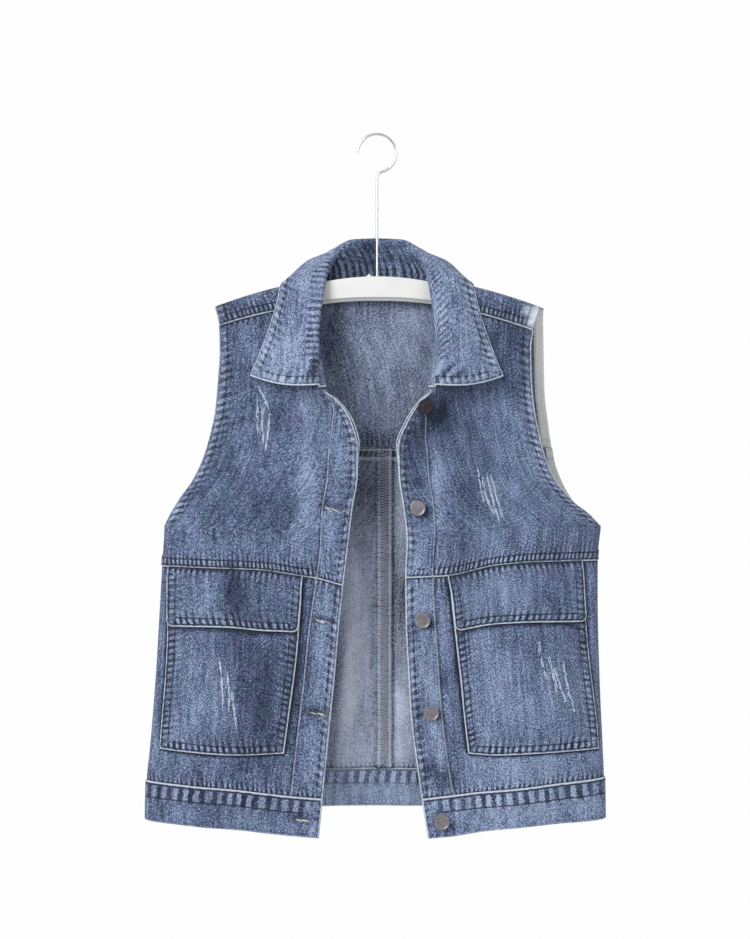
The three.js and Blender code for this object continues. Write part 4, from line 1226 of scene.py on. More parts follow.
@dataclass
class Strands:
    """Fine loose threads, each a thin tube along a line."""

    radius: float = 0.34
    sides: int = 5
    points: list[Array] = field(default_factory=list)
    faces: list[list[int]] = field(default_factory=list)
    count: int = 0

    def tube(self, rings: Array) -> None:
        """Adds a closed tube, from its points by ring and side."""
        size, sides = rings.shape[:2]
        walls = [[k * sides + s, k * sides + (s + 1) % sides,
                  (k + 1) * sides + (s + 1) % sides, (k + 1) * sides + s]
                 for k in range(size - 1) for s in range(sides)]
        ends = [list(range(sides))[::-1], list(range((size - 1) * sides, size * sides))]
        self.faces += [[self.count + k for k in face] for face in walls + ends]
        self.points.append(rings.reshape(-1, 3))
        self.count += size * sides

    def lay(self, line: Array, out: Sequence[float], taper: bool = True) -> None:
        """Adds one thread.

        Args:
            line: its points.
            out: the way out of the cloth.
            taper: whether its ends are drawn out thin.
        """
        up = np.array(out, float)
        level = unit(np.cross(unit(np.gradient(line, axis=0)), up))
        width = np.full(len(line), self.radius)
        if taper:
            width = width * np.sin(np.pi * np.linspace(0.06, 0.94, len(line))) ** 0.4
        self.tube(np.stack([
            line + width[:, None] * (math.cos(turn) * level + 0.7 * math.sin(turn) * up)
            for turn in np.arange(self.sides) * 2 * math.pi / self.sides], 1))

    def build(self, name: str, finish: Finish, smooth: bool = True) -> None:
        """Makes every thread as one mesh with a name and a material."""
        sew_on(mesh_object(name, np.concatenate(self.points), self.faces, finish, smooth))


@dataclass
class Sewing(Strands):
    """Rows of stitches, each stitch a short arched length of thread."""

    radius: float = 0.36
    length: float = 2.7
    pitch: float = 3.3
    rise: float = 0.22

    def __post_init__(self) -> None:
        """Shapes one stitch, along X with Z out of the cloth."""
        at = np.array([-0.5, -0.3, 0.0, 0.3, 0.5])[:, None]
        thick = self.radius * np.array([0.25, 0.9, 1.0, 0.9, 0.25])[:, None]
        turn = np.arange(self.sides) * 2 * math.pi / self.sides
        rise = self.rise * (1 - (2 * at) ** 2) - 0.06
        self.stitch = np.stack(np.broadcast_arrays(
            at * self.length, thick * np.cos(turn), thick * np.sin(turn) + rise), -1)

    def follow(self, paths: Rows) -> None:
        """Sews rows of thread, given as points with their normals."""
        for line, ups in paths:
            run = reached(line)
            read = lambda values, at: np.stack([np.interp(at, run, v) for v in values.T], -1)
            for at in np.arange(self.pitch / 2, run[-1] - self.pitch / 2, self.pitch):
                along = unit(read(line, at + self.length / 2) - read(line, at - self.length / 2))
                up = read(ups, at)
                up = unit(up - along * (up @ along))
                axes = np.stack([along, np.cross(up, along), up])
                self.tube(self.stitch @ axes + read(line, at))


@dataclass
class FrontSide:
    """One front: its panels, facing, waistband, pocket and flap."""

    body: VestBody
    side: Side
    lap: float = 12.5
    facing: float = 1.2
    patch: float = 1.8
    layer_gap: float = 0.3
    corner_z: float = -284.0
    flap_corner: float = 7.0
    peep: float = 2.3
    pocket_top: float = 0.34

    def level(self, name: str) -> Line:
        """A level seam's height against half width."""
        rows = LEVELS[self.side]
        return Curve(rows["x"], rows[name])

    def upper(self) -> SewnCloth:
        """The chest panel, from the shoulder seam to the chest seam."""
        body, side, gap = self.body, self.side, self.body.seam_gap
        outer, edge = body.outer_edge(Face.FRONT, side), body.edge[side]
        chest = self.level("chest")
        lines = [outer, moved(outer, -body.hem_width - 1.5), body.placket_line(side), edge]
        levels = [moved(body.shoulder_seam(side), -gap),
                  lambda x: self.corner_z - 0.1 * (x - edge(np.array(self.corner_z))),
                  moved(chest, self.lap), moved(chest, gap / 2)]
        columns = steps([0.004, 0.015, 0.04, 0.09, 0.16, 0.24, 0.33, 0.42, 0.51, 0.6, 0.7, 0.8,
                         0.9, 1], graded(150, 3, 8), graded(33, 3, 10))
        rows = steps(graded(90, 5), graded(190, 0, 6), graded(12.5, 12.5))
        grid = panel(body, Face.FRONT, side, lines, columns, levels, rows)
        hem = -body.hem_rise * np.clip((1 - columns) / 0.13, 0.0, 1.0)
        seams = [
            Seam(COLUMN, 0, 1, edge=0.25 if side is Side.RIGHT else 0.85, above=-436,
                 trim=3, **ARMHOLE_HEM),
            Seam(COLUMN, 3, -1, below=-285, strength=0.56, **FRONT_HEM),
            Seam(COLUMN, 2, 1, rows=(1.2,), edge=STRIP_EDGE[side], below=-294, trim=4, pale=True),
            Seam(COLUMN, 2, -1, painted_shadow=0.35, spread=1.4, below=-296),
            Seam(ROW, 3, -1, ticks=4.9, edge=0.9, **FELLED),
            Seam(ROW, 0, 1, painted_shadow=0.8, ticks=6.4, high=4.5, strength=0.5),
        ]
        return SewnCloth(
            f"front_upper_{side.value}", grid, seams, (0.24, 0.33), 0.052, seed=21 + side.sign,
            inner=hem, rests_on=("yoke",), tint=FRONT_TINT, hem=0.5 * (columns <= 0.6))

    def _below(self, levels: Sequence[Line], rows: Array) -> Grid:
        """A grid below the chest seam, whose columns follow the pocket's sides."""
        body, side, sides = self.body, self.side, POCKET_SIDES
        lines = [lambda z: body.inner_half(side, z),
                 *(Curve(sides["z"], sides[f"{at}_{side.value}"]) for at in ("outer", "inner")),
                 body.placket_line(side), body.edge[side]]
        columns = steps([0.006, 0.02, 0.05, 0.1, 0.18, 0.28, 0.4, 0.55, 0.7, 0.8, 0.9, 1],
                        graded(145, 12, 12), graded(14, 6), graded(33, 3, 10))
        return panel(body, Face.FRONT, side, lines, columns, levels, rows)

    def lower(self) -> SewnCloth:
        """The lower front, from the chest seam to the waistband."""
        gap = self.body.seam_gap
        levels = [moved(self.level("chest"), -gap / 2), self.level("flap"),
                  self.level("pocket"), moved(self.level("band"), gap / 2)]
        grid = self._below(levels, steps(graded(66, 4, 12), graded(135, 4, 12), graded(44, 4, 9)))
        seams = [
            Seam(COLUMN, 4, -1, strength=0.58, **FRONT_HEM),
            Seam(COLUMN, 3, 1, rows=(1.2,), edge=STRIP_EDGE[self.side], pale=True),
            Seam(COLUMN, 3, -1, painted_shadow=0.35, spread=1.4),
            Seam(ROW, 0, 1, painted_shadow=0.8, ticks=5.6, high=6.0, strength=0.8),
            Seam(ROW, 3, -1, painted_shadow=0.8, ticks=5.6, high=5.0, strength=0.9),
            # Painted shadow just outside the pocket's sides and foot.
            Seam(COLUMN, 1, -1, painted_shadow=0.95, spread=2.6, span=(0, 2)),
            Seam(COLUMN, 2, 1, painted_shadow=0.95, spread=2.8, span=(0, 2)),
            Seam(ROW, 2, 1, painted_shadow=0.95, spread=2.4, span=(1, 2)),
        ]
        return SewnCloth(
            f"front_lower_{self.side.value}", grid, seams, (0.24, 0.26), 0.052,
            seed=31 + self.side.sign, tint=FRONT_TINT,
            rests_on=(f"front_upper_{self.side.value}",))

    def waistband(self) -> SewnCloth:
        """The front's part of the waistband."""
        levels = [moved(self.level("band"), -self.body.seam_gap / 2), self.level("hem")]
        grid = self._below(levels, steps(graded(42, 20, 5, 2.0)))
        seams = [BAND_SEAM, BAND_HEM,
                 Seam(COLUMN, 4, -1, ticks=9, high=4.5, edge=0.85, strength=0.4)]
        return SewnCloth(
            f"waistband_front_{self.side.value}", grid, seams, (0.215, 0.045), 0.0093,
            seed=41 + self.side.sign, outer=self.body.band, tint=FRONT_TINT,
            rests_on=(f"front_lower_{self.side.value}",))

    def facing_strip(self, upper: Grid, lower: Grid) -> SewnCloth:
        """The facing inside the front edge.

        Args:
            upper: the chest panel's grid.
            lower: the lower front's grid.

        Returns:
            The strip.
        """
        strip = upper.part((1, -1), (2, -1)).joined(lower.part((0, -1), (3, -1)))
        z, share = strip.points[..., 2], strip.across / strip.across[:, -1:]
        push = self.peep * ease((z + 376) / 40) * ease((-274 - z) / 10) * share**2
        strip.points[..., 0] -= self.side.sign * push
        # Painted shade beside the facing's worn edge, where the front's edge overhangs it.
        seam = Seam(COLUMN, -1, -1, edge=0.95, painted_shadow=0.9, spread=4.0)
        return SewnCloth(
            f"front_facing_{self.side.value}", strip, [seam], (0.04, 0.48), 0.0145,
            seed=51 + self.side.sign, inner=-self.layer_gap - self.facing, outer=-self.layer_gap,
            reverse=0.35, rests_on=(f"front_upper_{self.side.value}",))

    def pocket(self, lower: Grid) -> SewnCloth:
        """The patch pocket on the lower front."""
        grid = lower.part((self.pocket_top, 2), (1, 2))
        on = self.body.cloth + self.layer_gap
        seams = [
            Seam(ROW, -1, -1, edge=0.9, **TOPSTITCHED),
            Seam(COLUMN, 1, 1, edge=0.9, strength=0.6, **TOPSTITCHED),
            Seam(COLUMN, -1, -1, edge=0.9, strength=0.6, **TOPSTITCHED),
            # Painted shadow under the flap's lower edge.
            Seam(ROW, 1, 1, painted_shadow=0.55, spread=4.0),
        ]
        return SewnCloth(
            f"pocket_{self.side.value}", grid, seams, (0.165, 0.19), 0.0295,
            seed=61 + self.side.sign, inner=on, outer=on + self.patch, tint=FRONT_TINT,
            rests_on=(f"front_lower_{self.side.value}",))

    def flap(self, lower: Grid) -> SewnCloth:
        """The pocket's flap, hung from the chest seam, with soft lower corners."""
        grid = self._rounded(lower.part((0, 1), (1, 2)))
        on = self.body.cloth + self.layer_gap
        over = on + self.patch + self.layer_gap
        base = mix(on, over + 0.6, ease(grid.down / 14.0))
        seams = [
            Seam(ROW, -1, -1, edge=0.95, strength=0.9, **TOPSTITCHED),
            Seam(COLUMN, 1, 1, edge=0.95, strength=0.5, **TOPSTITCHED),
            Seam(COLUMN, -1, -1, edge=0.95, strength=0.5, **TOPSTITCHED),
            Seam(ROW, 0, 1, painted_shadow=0.9, spread=2.2, ticks=6.4, high=6.0, strength=0.8),
        ]
        return SewnCloth(
            f"pocket_flap_{self.side.value}", grid, seams, (0.165, 0.085), 0.0118,
            seed=71 + self.side.sign, inner=base, outer=base + self.patch, tint=FRONT_TINT,
            rests_on=(f"front_upper_{self.side.value}",))

    def _rounded(self, grid: Grid) -> Grid:
        """The flap's grid with its two lower corners drawn in to an arc."""
        size = self.flap_corner
        near = lambda away: np.clip(size - away, 0, None) / size
        x, z = grid.points[..., 0].copy(), grid.points[..., 2].copy()
        v = near(grid.down[-1:] - grid.down)
        for across, way in ((grid.across, 1), (grid.across[:, -1:] - grid.across, -1)):
            u = near(across)
            keep = np.maximum(u, v) / np.maximum(np.hypot(u, v), 1e-9)
            pull = (1 - keep) * size * ((u > 0) & (v > 0))
            x -= way * self.side.sign * u * pull
            z += v * pull
        return Grid.facing(
            Face.FRONT, self.body.point(Face.FRONT, x, z), grid.row_steps, grid.column_steps)


@dataclass
class BackPanels:
    """The back below the yoke: two halves with a centre seam, and the waistband."""

    body: VestBody
    seam_x: float = 8.0

    def _grid(self, side: Side, levels: Sequence[Line], rows: Array) -> Grid:
        """A grid on one side of the back."""
        body, centre = self.body, side.sign * self.seam_x
        outer, turned = body.outer_edge(Face.BACK, side), body.hem_width + 1.5
        lines = [outer, moved(outer, -turned), fixed(centre + turned),
                 fixed(centre + body.seam_gap / 2)]
        columns = steps([0.004, 0.015, 0.04, 0.09, 0.16, 0.26, 0.38, 0.5, 0.63, 0.76, 0.87, 1],
                        graded(215, 0, 0, 3.0), graded(11.5, 11.5))
        return panel(body, Face.BACK, side, lines, columns, levels, rows)

    def _level(self, side: Side, name: str) -> Line:
        """A level seam's height against half width."""
        curve = Curve(BACK_LEVELS["x"], BACK_LEVELS[name])
        return lambda x: curve(side.sign * x)

    def half(self, side: Side) -> SewnCloth:
        """One half of the back."""
        gap = self.body.seam_gap / 2
        levels = [fixed(self.body.yoke_seam_z - gap), fixed(self.body.underarm_z),
                  moved(self._level(side, "band"), gap)]
        grid = self._grid(side, levels, steps(graded(87, 12, 0, 3.0), graded(278, 0, 12, 3.0)))
        columns = grid.column_steps
        inner = np.where((columns <= 0.87) | (columns >= 2.13), -self.body.hem_rise, 0.0)
        seams = [
            Seam(COLUMN, 0, 1, edge=0.6 * (side is Side.RIGHT), above=-436, trim=3,
                 painted_shadow=0.5 * (side is Side.LEFT), spread=1.2, **ARMHOLE_HEM),
            Seam(COLUMN, 3, -1, rows=(2.2, 8.0), painted_shadow=0.4, ticks=6.5, high=8.0,
                 strength=0.8, edge=0.5 * (side is Side.RIGHT)),
            Seam(ROW, 0, 1, painted_shadow=0.8, ticks=5.6, high=9.5, strength=0.9),
            Seam(ROW, 2, -1, painted_shadow=0.8, ticks=5.6, high=5.0, strength=0.8),
        ]
        return SewnCloth(
            f"back_{side.value}", grid, seams, (0.27, 0.38), 0.096, seed=81 + side.sign,
            inner=inner, rests_on=("yoke",), reverse=0.9, tint=BACK_TINT, lining_tint=INSIDE_TINT,
            hem=1.0 * (columns <= 0.6))

    def waistband(self) -> SewnCloth:
        """The waistband across the back."""
        made = []
        for side in Side:
            levels = [moved(self._level(side, "band"), -self.body.seam_gap / 2),
                      self._level(side, "hem")]
            made.append(self._grid(side, levels, steps(graded(42, 20, 5))))
        right, left = made
        points = np.concatenate([right.points, left.points[:, -2::-1]], axis=1)
        grid = Grid.facing(Face.BACK, points, right.row_steps, None)
        return SewnCloth(
            "waistband_back", grid, [BAND_SEAM, BAND_HEM], (0.52, 0.045), 0.0226, seed=91,
            outer=self.body.band, rests_on=("back_right", "back_left"), reverse=0.1,
            tint=BACK_TINT, lining_tint=BAND_INSIDE_TINT, through=0.9)


@dataclass
class Yoke:
    """The yoke, over both shoulders and down the back to its seam."""

    body: VestBody
    first: float = -34.0
    last: float = 175.0

    def _tip(self, side: Side, way: Array) -> Array:
        """The armhole's half width at a way over the shoulder."""
        at = np.full(np.shape(way), side.sign * 178.0)
        z = np.minimum(self.body.shoulder_point(at, way)[..., 2], -188.0)
        return np.where(way < 0, *(self.body.armhole[face, side](z) for face in Face))

    def _seamed(self, side: Side, share: float) -> tuple[Line, Line]:
        """A column from the shoulder seam: its start's way, and its X against the way."""
        seam = self.body.shoulder_seam(side)
        return (lambda x: -self.body.way_to(x, seam(np.abs(x))),
                lambda way: side.sign * mix(self._tip(side, way), 70.0, share))

    def _columns(self) -> list[tuple[Line, Line]]:
        """For each column, where it starts over the shoulder and its X against the way."""
        neck = steps(*[graded(n) for n in (9, 7, 7, 7, 12, 17, 18, 20)])
        number = np.arange(len(YOKE_NECKLINE["x"]))
        x, over = (Curve(number, YOKE_NECKLINE[name])(neck) for name in ("x", "over"))
        made: list[tuple[Line, Line]] = []
        for side in Side:
            half = [self._seamed(side, share) for share in [0.0] + graded(110, 12, 3)]
            half += [(fixed(b), fixed(side.sign * a)) for a, b in zip(x, over)]
            made += half if side is Side.RIGHT else half[-2::-1]
        return made

    def build(self) -> SewnCloth:
        """The yoke as sewn cloth."""
        places = steps(graded(self.last - self.first, 14, 13))
        ways = self.first + places * (self.last - self.first)
        columns = self._columns()
        points = np.empty((len(ways), len(columns), 3))
        for k, (start_of, x_of) in enumerate(columns):
            start = start_of(x_of(np.array(self.first)))
            x, at = x_of(ways), ways
            for _ in range(5):
                end = self.body.way_to(x, self.body.yoke_seam_z + self.body.seam_gap / 2)
                at = mix(start, end, places)
                x = x_of(at)
            points[:, k] = self.body.shoulder_point(x, at)
        grid = Grid.facing(Face.BACK, points, places, np.linspace(0.0, 1.0, len(columns)))
        seams = [
            Seam(ROW, 0, 1, ticks=4.9, edge=0.8, below=-170, **FELLED),
            Seam(ROW, -1, -1, ticks=5.4, edge=0.9, **FELLED),
            Seam(COLUMN, -1, -1, painted_shadow=0.5, spread=1.2, **ARMHOLE_HEM),
            Seam(COLUMN, 0, 1, edge=0.3, **ARMHOLE_HEM),
        ]
        near = np.minimum(grid.across, grid.across[:, -1:] - grid.across)
        made = SewnCloth(
            "yoke", grid, seams, (0.38, 0.22), 0.069, seed=101, reverse=0.4,
            rests_on=("hanger_board",), lining_tint=YOKE_INSIDE_TINT,
            hem=1.0 * (near < self.body.hem_width))
        front, (tone, worn) = grid.points[..., 1] < 0, FRONT_TINT(grid.points)
        made.fade = np.where(front, tone, BACK_TINT(grid.points)[0])
        made.worn = np.where(front, worn, 0.0)
        return made


@dataclass
class Collar:
    """The collar: a stand and a leaf on either side of one rolled fold."""

    body: VestBody
    thick: float = 2.2
    crown: float = 2.5

    def build(self) -> SewnCloth:
        """The collar as sewn cloth."""
        rows = COLLAR_STATIONS
        last = len(rows["roll"]) - 1
        number = np.arange(last + 1)
        read = {name: Curve(number, rows[name]) for name in rows}
        tail = last - np.array([0.0, 0.02, 0.045, 0.08, 0.13, 0.19, 0.26, 0.33])
        half = np.unique(np.concatenate([np.arange(0.0, last - 0.36, 0.1), tail]))
        places = np.concatenate([-half[:0:-1], half])
        foot, fold, edge, roll, rise = self._section(places, read)
        step = 0.05
        upper = self._section(np.minimum(places + step, last), read)[1]
        lower = self._section(np.maximum(places - step, -last), read)[1]
        dot = lambda a, b: np.sum(a * b, axis=-1, keepdims=True)
        run = unit(upper - lower)
        inward = (foot + edge) / 2 - fold
        inward = unit(inward - run * dot(inward, run))
        outward = np.cross(run, inward)
        outward = outward * np.sign(dot(outward, edge - foot))
        centre = fold + inward * roll
        stand_top, leaf_top = centre - outward * roll, centre + outward * roll
        section = [mix(foot, stand_top, share) for share in np.linspace(0, 1, 18)[:-1]]
        section += [centre - roll * (outward * math.cos(turn) + inward * math.sin(turn))
                    for turn in np.linspace(0, math.pi, 9)]
        out = outward * self.crown + np.array([0.0, 0.0, 1.0]) * rise
        section += [mix(leaf_top, edge, share) + out * math.sin(math.pi * share)
                    for share in graded(64, 0, 11, 2.2)]
        points = np.stack(section, axis=1)
        grid = Grid.facing(
            Face.BACK, points, np.linspace(0, 1, len(places)), np.linspace(0, 1, len(section)))
        turned = dict(rows=(9.4,), ticks=8.2, high=9.2, edge=1.0, trim=9, strength=0.8)
        seams = [Seam(axis, knot, side, **turned) for axis, knot, side in (
            (COLUMN, -1, -1), (ROW, 0, 1), (ROW, -1, -1))]
        seams.append(Seam(COLUMN, 0, 1, ticks=7.6, high=30.0, strength=0.6, slant=0.02))
        stand = 1.0 - ease((np.arange(len(section)) - 14) / 9.0)
        # Painted shade on the inside of the stand at the back of the neck, deeper on the wearer's
        # right.
        dark = np.where(places < 0, 0.6, 0.33)[:, None] * np.exp(-((places / 4.0) ** 2))[:, None]
        return SewnCloth(
            "collar", grid, seams, (0.5, 0.13), 0.047, seed=111, inner=-self.thick / 2,
            outer=self.thick / 2, fade=0.18 - dark * stand[None], reverse=0.0, tint=COLLAR_TINT,
            rests_on=("yoke",))

    def _section(self, places: Array, read: dict[str, Curve]) -> tuple[Array, ...]:
        """The collar's foot, fold, edge, roll and rise at places from end to end."""
        station, sign = np.abs(places), np.where(places < 0, -1.0, 1.0)
        get = lambda name: read[name](station)
        foot = self.body.shoulder_off(sign * get("foot_x"), get("foot_over"), get("foot_off"))
        fold = np.stack([sign * get("fold_x"), get("fold_y"), get("fold_z")], -1)
        edge = self.body.shoulder_off(sign * get("edge_x"), get("edge_over"), get("edge_off"))
        return foot, fold, edge, get("roll")[:, None], (get("rise") - get("bow"))[:, None]


class Bench:
    """Modelling by hand: one object at a time, shaped in edit mode."""

    @staticmethod
    def clear() -> None:
        """Deselects everything."""
        if bpy.context.mode != "OBJECT":
            bpy.ops.object.mode_set(mode="OBJECT")
        bpy.ops.object.select_all(action="DESELECT")

    @staticmethod
    def take(name: str) -> Item:
        """Names the new primitive, with its place and size set in its mesh."""
        made = bpy.context.active_object
        made.name = name
        bpy.ops.object.transform_apply()
        return made

    @staticmethod
    def edit(made: Item, action: str = "DESELECT") -> None:
        """Opens an object in edit mode with nothing or all of it selected."""
        bpy.context.view_layer.objects.active = made
        bpy.ops.object.mode_set(mode="EDIT")
        bpy.ops.mesh.select_mode(type="FACE")
        bpy.ops.mesh.select_all(action=action)

    @staticmethod
    def pick(made: Item, test: Callable[[Vector, Vector], bool]) -> None:
        """Selects the faces that a test of their middle and normal takes."""
        bpy.ops.object.mode_set(mode="OBJECT")
        mesh = made.data
        mesh.polygons.foreach_set(
            "select", [bool(test(face.center, face.normal)) for face in mesh.polygons])
        for parts in (mesh.edges, mesh.vertices):
            parts.foreach_set("select", [False] * len(parts))
        bpy.ops.object.mode_set(mode="EDIT")
        bpy.ops.mesh.select_mode(type="FACE")

    @staticmethod
    def push(way: Sequence[float]) -> None:
        """Extrudes what is selected by a way in millimetres."""
        bpy.ops.mesh.extrude_region_move(TRANSFORM_OT_translate={"value": tuple(Vector(way) * MM)})

    @staticmethod
    def finish(made: Item, finish: Finish, slot: str, stands_for: str,
               angle: float = 35.0) -> None:
        """Args:
            made: the object.
            finish: its material.
            slot: not used.
            stands_for: the node that it replaces.
            angle: the edges that stay sharp are sharper than this, in degrees.
        """
        Bench.clear()
        Bench.edit(made, "SELECT")
        bpy.ops.mesh.remove_doubles(threshold=1e-6)
        bpy.ops.mesh.normals_make_consistent(inside=False)
        bpy.ops.object.mode_set(mode="OBJECT")
        made.select_set(True)
        bpy.ops.object.transform_apply()
        bpy.ops.object.shade_smooth_by_angle(angle=math.radians(angle))
        made.data.materials.clear()
        made.data.materials.append(finish)
        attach(made, BODY)
        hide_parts(stands_for)
        LOG.info("%s: %d faces", made.name, len(made.data.polygons))
        Bench.clear()

    @staticmethod
    def bevel(made: Item, width: float, angle: float = 30.0) -> None:
        """Rounds an object's sharp edges."""
        Bench.clear()
        bpy.context.view_layer.objects.active = made
        made.select_set(True)
        modifier = made.modifiers.new("round", "BEVEL")
        modifier.width, modifier.segments = width * MM, 2
        modifier.limit_method, modifier.angle_limit = "ANGLE", math.radians(angle)
        bpy.ops.object.modifier_apply(modifier=modifier.name)


@dataclass
class ShankButton:
    """A flat metal shank button with a rolled rim."""

    radius: float = 8.5
    cap: float = 2.6
    shank_radius: float = 3.2
    shank: float = 1.9
    rim: float = 1.1
    dish: float = 0.35

    def model(self, name: str) -> Item:
        """Models one button, standing along +Y from its seat."""
        Bench.clear()
        bpy.ops.mesh.primitive_cylinder_add(
            vertices=40, radius=self.shank_radius * MM, depth=self.shank * MM,
            location=(0, self.shank / 2 * MM, 0), rotation=(math.pi / 2, 0, 0))
        made = Bench.take(name)
        Bench.edit(made)
        Bench.pick(made, lambda c, n: n.y > 0.9)
        wide = self.radius / self.shank_radius
        for rise, scale in ((0.0, wide), (self.cap * 0.3, 1.02), (self.cap * 0.7, 0.97)):
            Bench.push((0, rise, 0))
            bpy.ops.transform.resize(value=(scale, 1, scale))
        for thick, rise in ((self.rim, 0), (0.35, -self.dish), (2.4, 0.1), (2.2, 0.12)):
            bpy.ops.mesh.inset(thickness=thick * MM, depth=rise * MM)
        Bench.bevel(made, 0.22)
        return made

    def place(self, body: VestBody, finish: Finish, shadowed_finish: Finish) -> None:
        """Sets a button at each of the five places on the left front, the top one darker:
        painted shade for the collar's shadow that it hangs in.
        """
        master = self.model("button_master")
        for number, (z, inset) in enumerate(each(BUTTONS), 1):
            x = float(body.edge[Side.LEFT](np.array(z))) + inset
            frame = body.seat(x, float(z), 0.4)
            frame.translation *= MM
            made = in_scene(f"button_{number}_cap", master.data.copy())
            made.data.transform(frame)
            Bench.finish(
                made, shadowed_finish if number == 1 else finish, "button_metal", f"button_{number}")
        bpy.data.objects.remove(master)


@dataclass
class Buttonhole:
    """The worked buttonholes on the right front."""

    half_width: float = 1.1

    def build(self, body: VestBody, purl: Finish, fray: Finish, slit: Finish) -> None:
        """Makes each hole's dark slit, the purl stitches round it and its frayed threads.

        Args:
            body: the vest's form.
            purl: the thread's material.
            fray: the material of the frayed threads.
            slit: the material of the shadowed opening.
        """
        random = np.random.default_rng(7)
        purls = Sewing(length=2.0, pitch=2.9, radius=0.3, rise=0.3)
        loose, slits = Strands(), Strands()
        for x, z, length, tilt in each(BUTTONHOLES):
            frame = body.seat(float(x), float(z), 0.1)
            frame = frame @ Matrix.Rotation(math.radians(-tilt), 4, "Y")
            turn = np.linspace(0, 2 * math.pi, 28, endpoint=False)
            slits.tube(np.array([[frame @ Vector((
                length / 2 * math.cos(t), rise, self.half_width * math.sin(t))) for t in turn]
                for rise in (0.0, 0.12)]))
            out = np.array(frame.to_3x3() @ Vector((0, 1, 0)))
            for _ in range(6):
                start = random.uniform(-0.45, 0.15)
                at = np.linspace(start, start + random.uniform(0.25, 0.5), 9)
                sway = random.uniform(-0.8, 1.4) - random.uniform(2.0, 7.0) * (at - start)
                rise = 0.35 + 0.5 * np.abs(at)
                loose.lay(np.array([frame @ Vector((a * length, r, v))
                                    for a, r, v in zip(at, rise, sway)]), out)
            for angle in np.arange(34) * 2 * math.pi / 34:
                ends = []
                for wide in (1.5, 2.9):
                    spread = wide + random.uniform(-0.25, 0.45)
                    along = (length / 2 - 1 + spread * 0.4) * math.cos(angle)
                    ends.append(np.array(frame @ Vector((
                        along + random.uniform(-0.3, 0.3), 0.1, spread * math.sin(angle)))))
                gap, middle = ends[1] - ends[0], (ends[0] + ends[1]) / 2
                if np.linalg.norm(gap) < 0.3:
                    continue
                line = middle + np.array([[-1.5], [0.0], [1.5]]) * unit(gap)
                purls.follow([(line, np.array([out] * 3))])
        purls.build("buttonhole_purl", purl)
        loose.build("buttonhole_threads", fray)
        slits.build("buttonhole_slits", slit, smooth=False)


@dataclass
class Scratches:
    """Scratched places: bundles of pale weft threads, raised and frayed, with no hole."""

    spread: float = 1.1

    def build(self, body: VestBody, finish: Finish) -> None:
        """Lays the threads on the fronts and the pockets."""
        random = np.random.default_rng(17)
        strands, out_of = Strands(radius=0.3), Face.FRONT.outward
        bend = lambda t, a, b, c: (
            (1 - t) ** 2 * a + 2 * t * (1 - t) * (2 * b - (a + c) / 2) + t * t * c)
        for x1, z1, x2, z2, x3, z3, count, out in each(SCRATCHES):
            for number in range(int(count)):
                start = random.uniform(0.0, 0.25) * (number > 0)
                end = 1.0 - random.uniform(0.0, 0.3) * (number > 0)
                t = np.linspace(start, end, 30)
                wave = Noise(int(random.integers(1, 9999)))
                x = bend(t, x1, x2, x3) + random.uniform(-1, 1) * self.spread + 0.5 * wave(t * 14)
                lift = out + 0.15 + 0.35 * np.abs(wave(t * 9 + 20, 5.0))
                line = body.point(Face.FRONT, x, bend(t, z1, z2, z3))
                line = line + np.array(out_of) * lift[:, None]
                for piece in np.array_split(np.arange(30), 3):
                    first, last = random.integers(0, 3, 2)
                    strands.lay(line[piece[first : 10 - last]], out_of)
            for _ in range(int(count) * 5):
                t = random.uniform(0.05, 0.95)
                half = random.uniform(0.4, 1.5)
                across = np.linspace(-half, half, 5)
                line = body.point(Face.FRONT, bend(t, x1, x2, x3) + across,
                                  mix(z1, z3, t) + across * random.uniform(-0.3, 0.5))
                strands.lay(line + np.array(out_of) * (out + 0.1), out_of)
        strands.build("scratched_threads", finish)


@dataclass
class Overlock:
    """The overlocked allowance of the centre back seam, on the inside."""

    middle: float = 8.4
    half_width: float = 5.4
    edge_x: float = 14.6
    edge_half: float = 0.8
    pitch: float = 3.0
    top: float = -352.0
    bottom: float = -703.0
    off: float = 1.9

    def build(self, body: VestBody, bead: Finish, web: Finish) -> None:
        """Lays the zigzag over the allowance, and the beaded thread along its edge."""
        for name, x, half, radius, finish in (
                ("overlock_web", self.middle, self.half_width, 0.32, web),
                ("overlock_edge", self.edge_x, self.edge_half, 0.4, bead)):
            strands, inward = Strands(radius=radius, sides=4), -np.array(Face.BACK.outward)
            z = np.arange(self.top, self.bottom, -self.pitch / 2)
            swing = np.where(np.arange(len(z)) % 2, half, -half)
            line = body.point(Face.BACK, x + swing, z) + inward * self.off
            for k in range(len(line) - 1):
                strands.lay(line[k : k + 2], inward, taper=False)
            strands.build(name, finish)


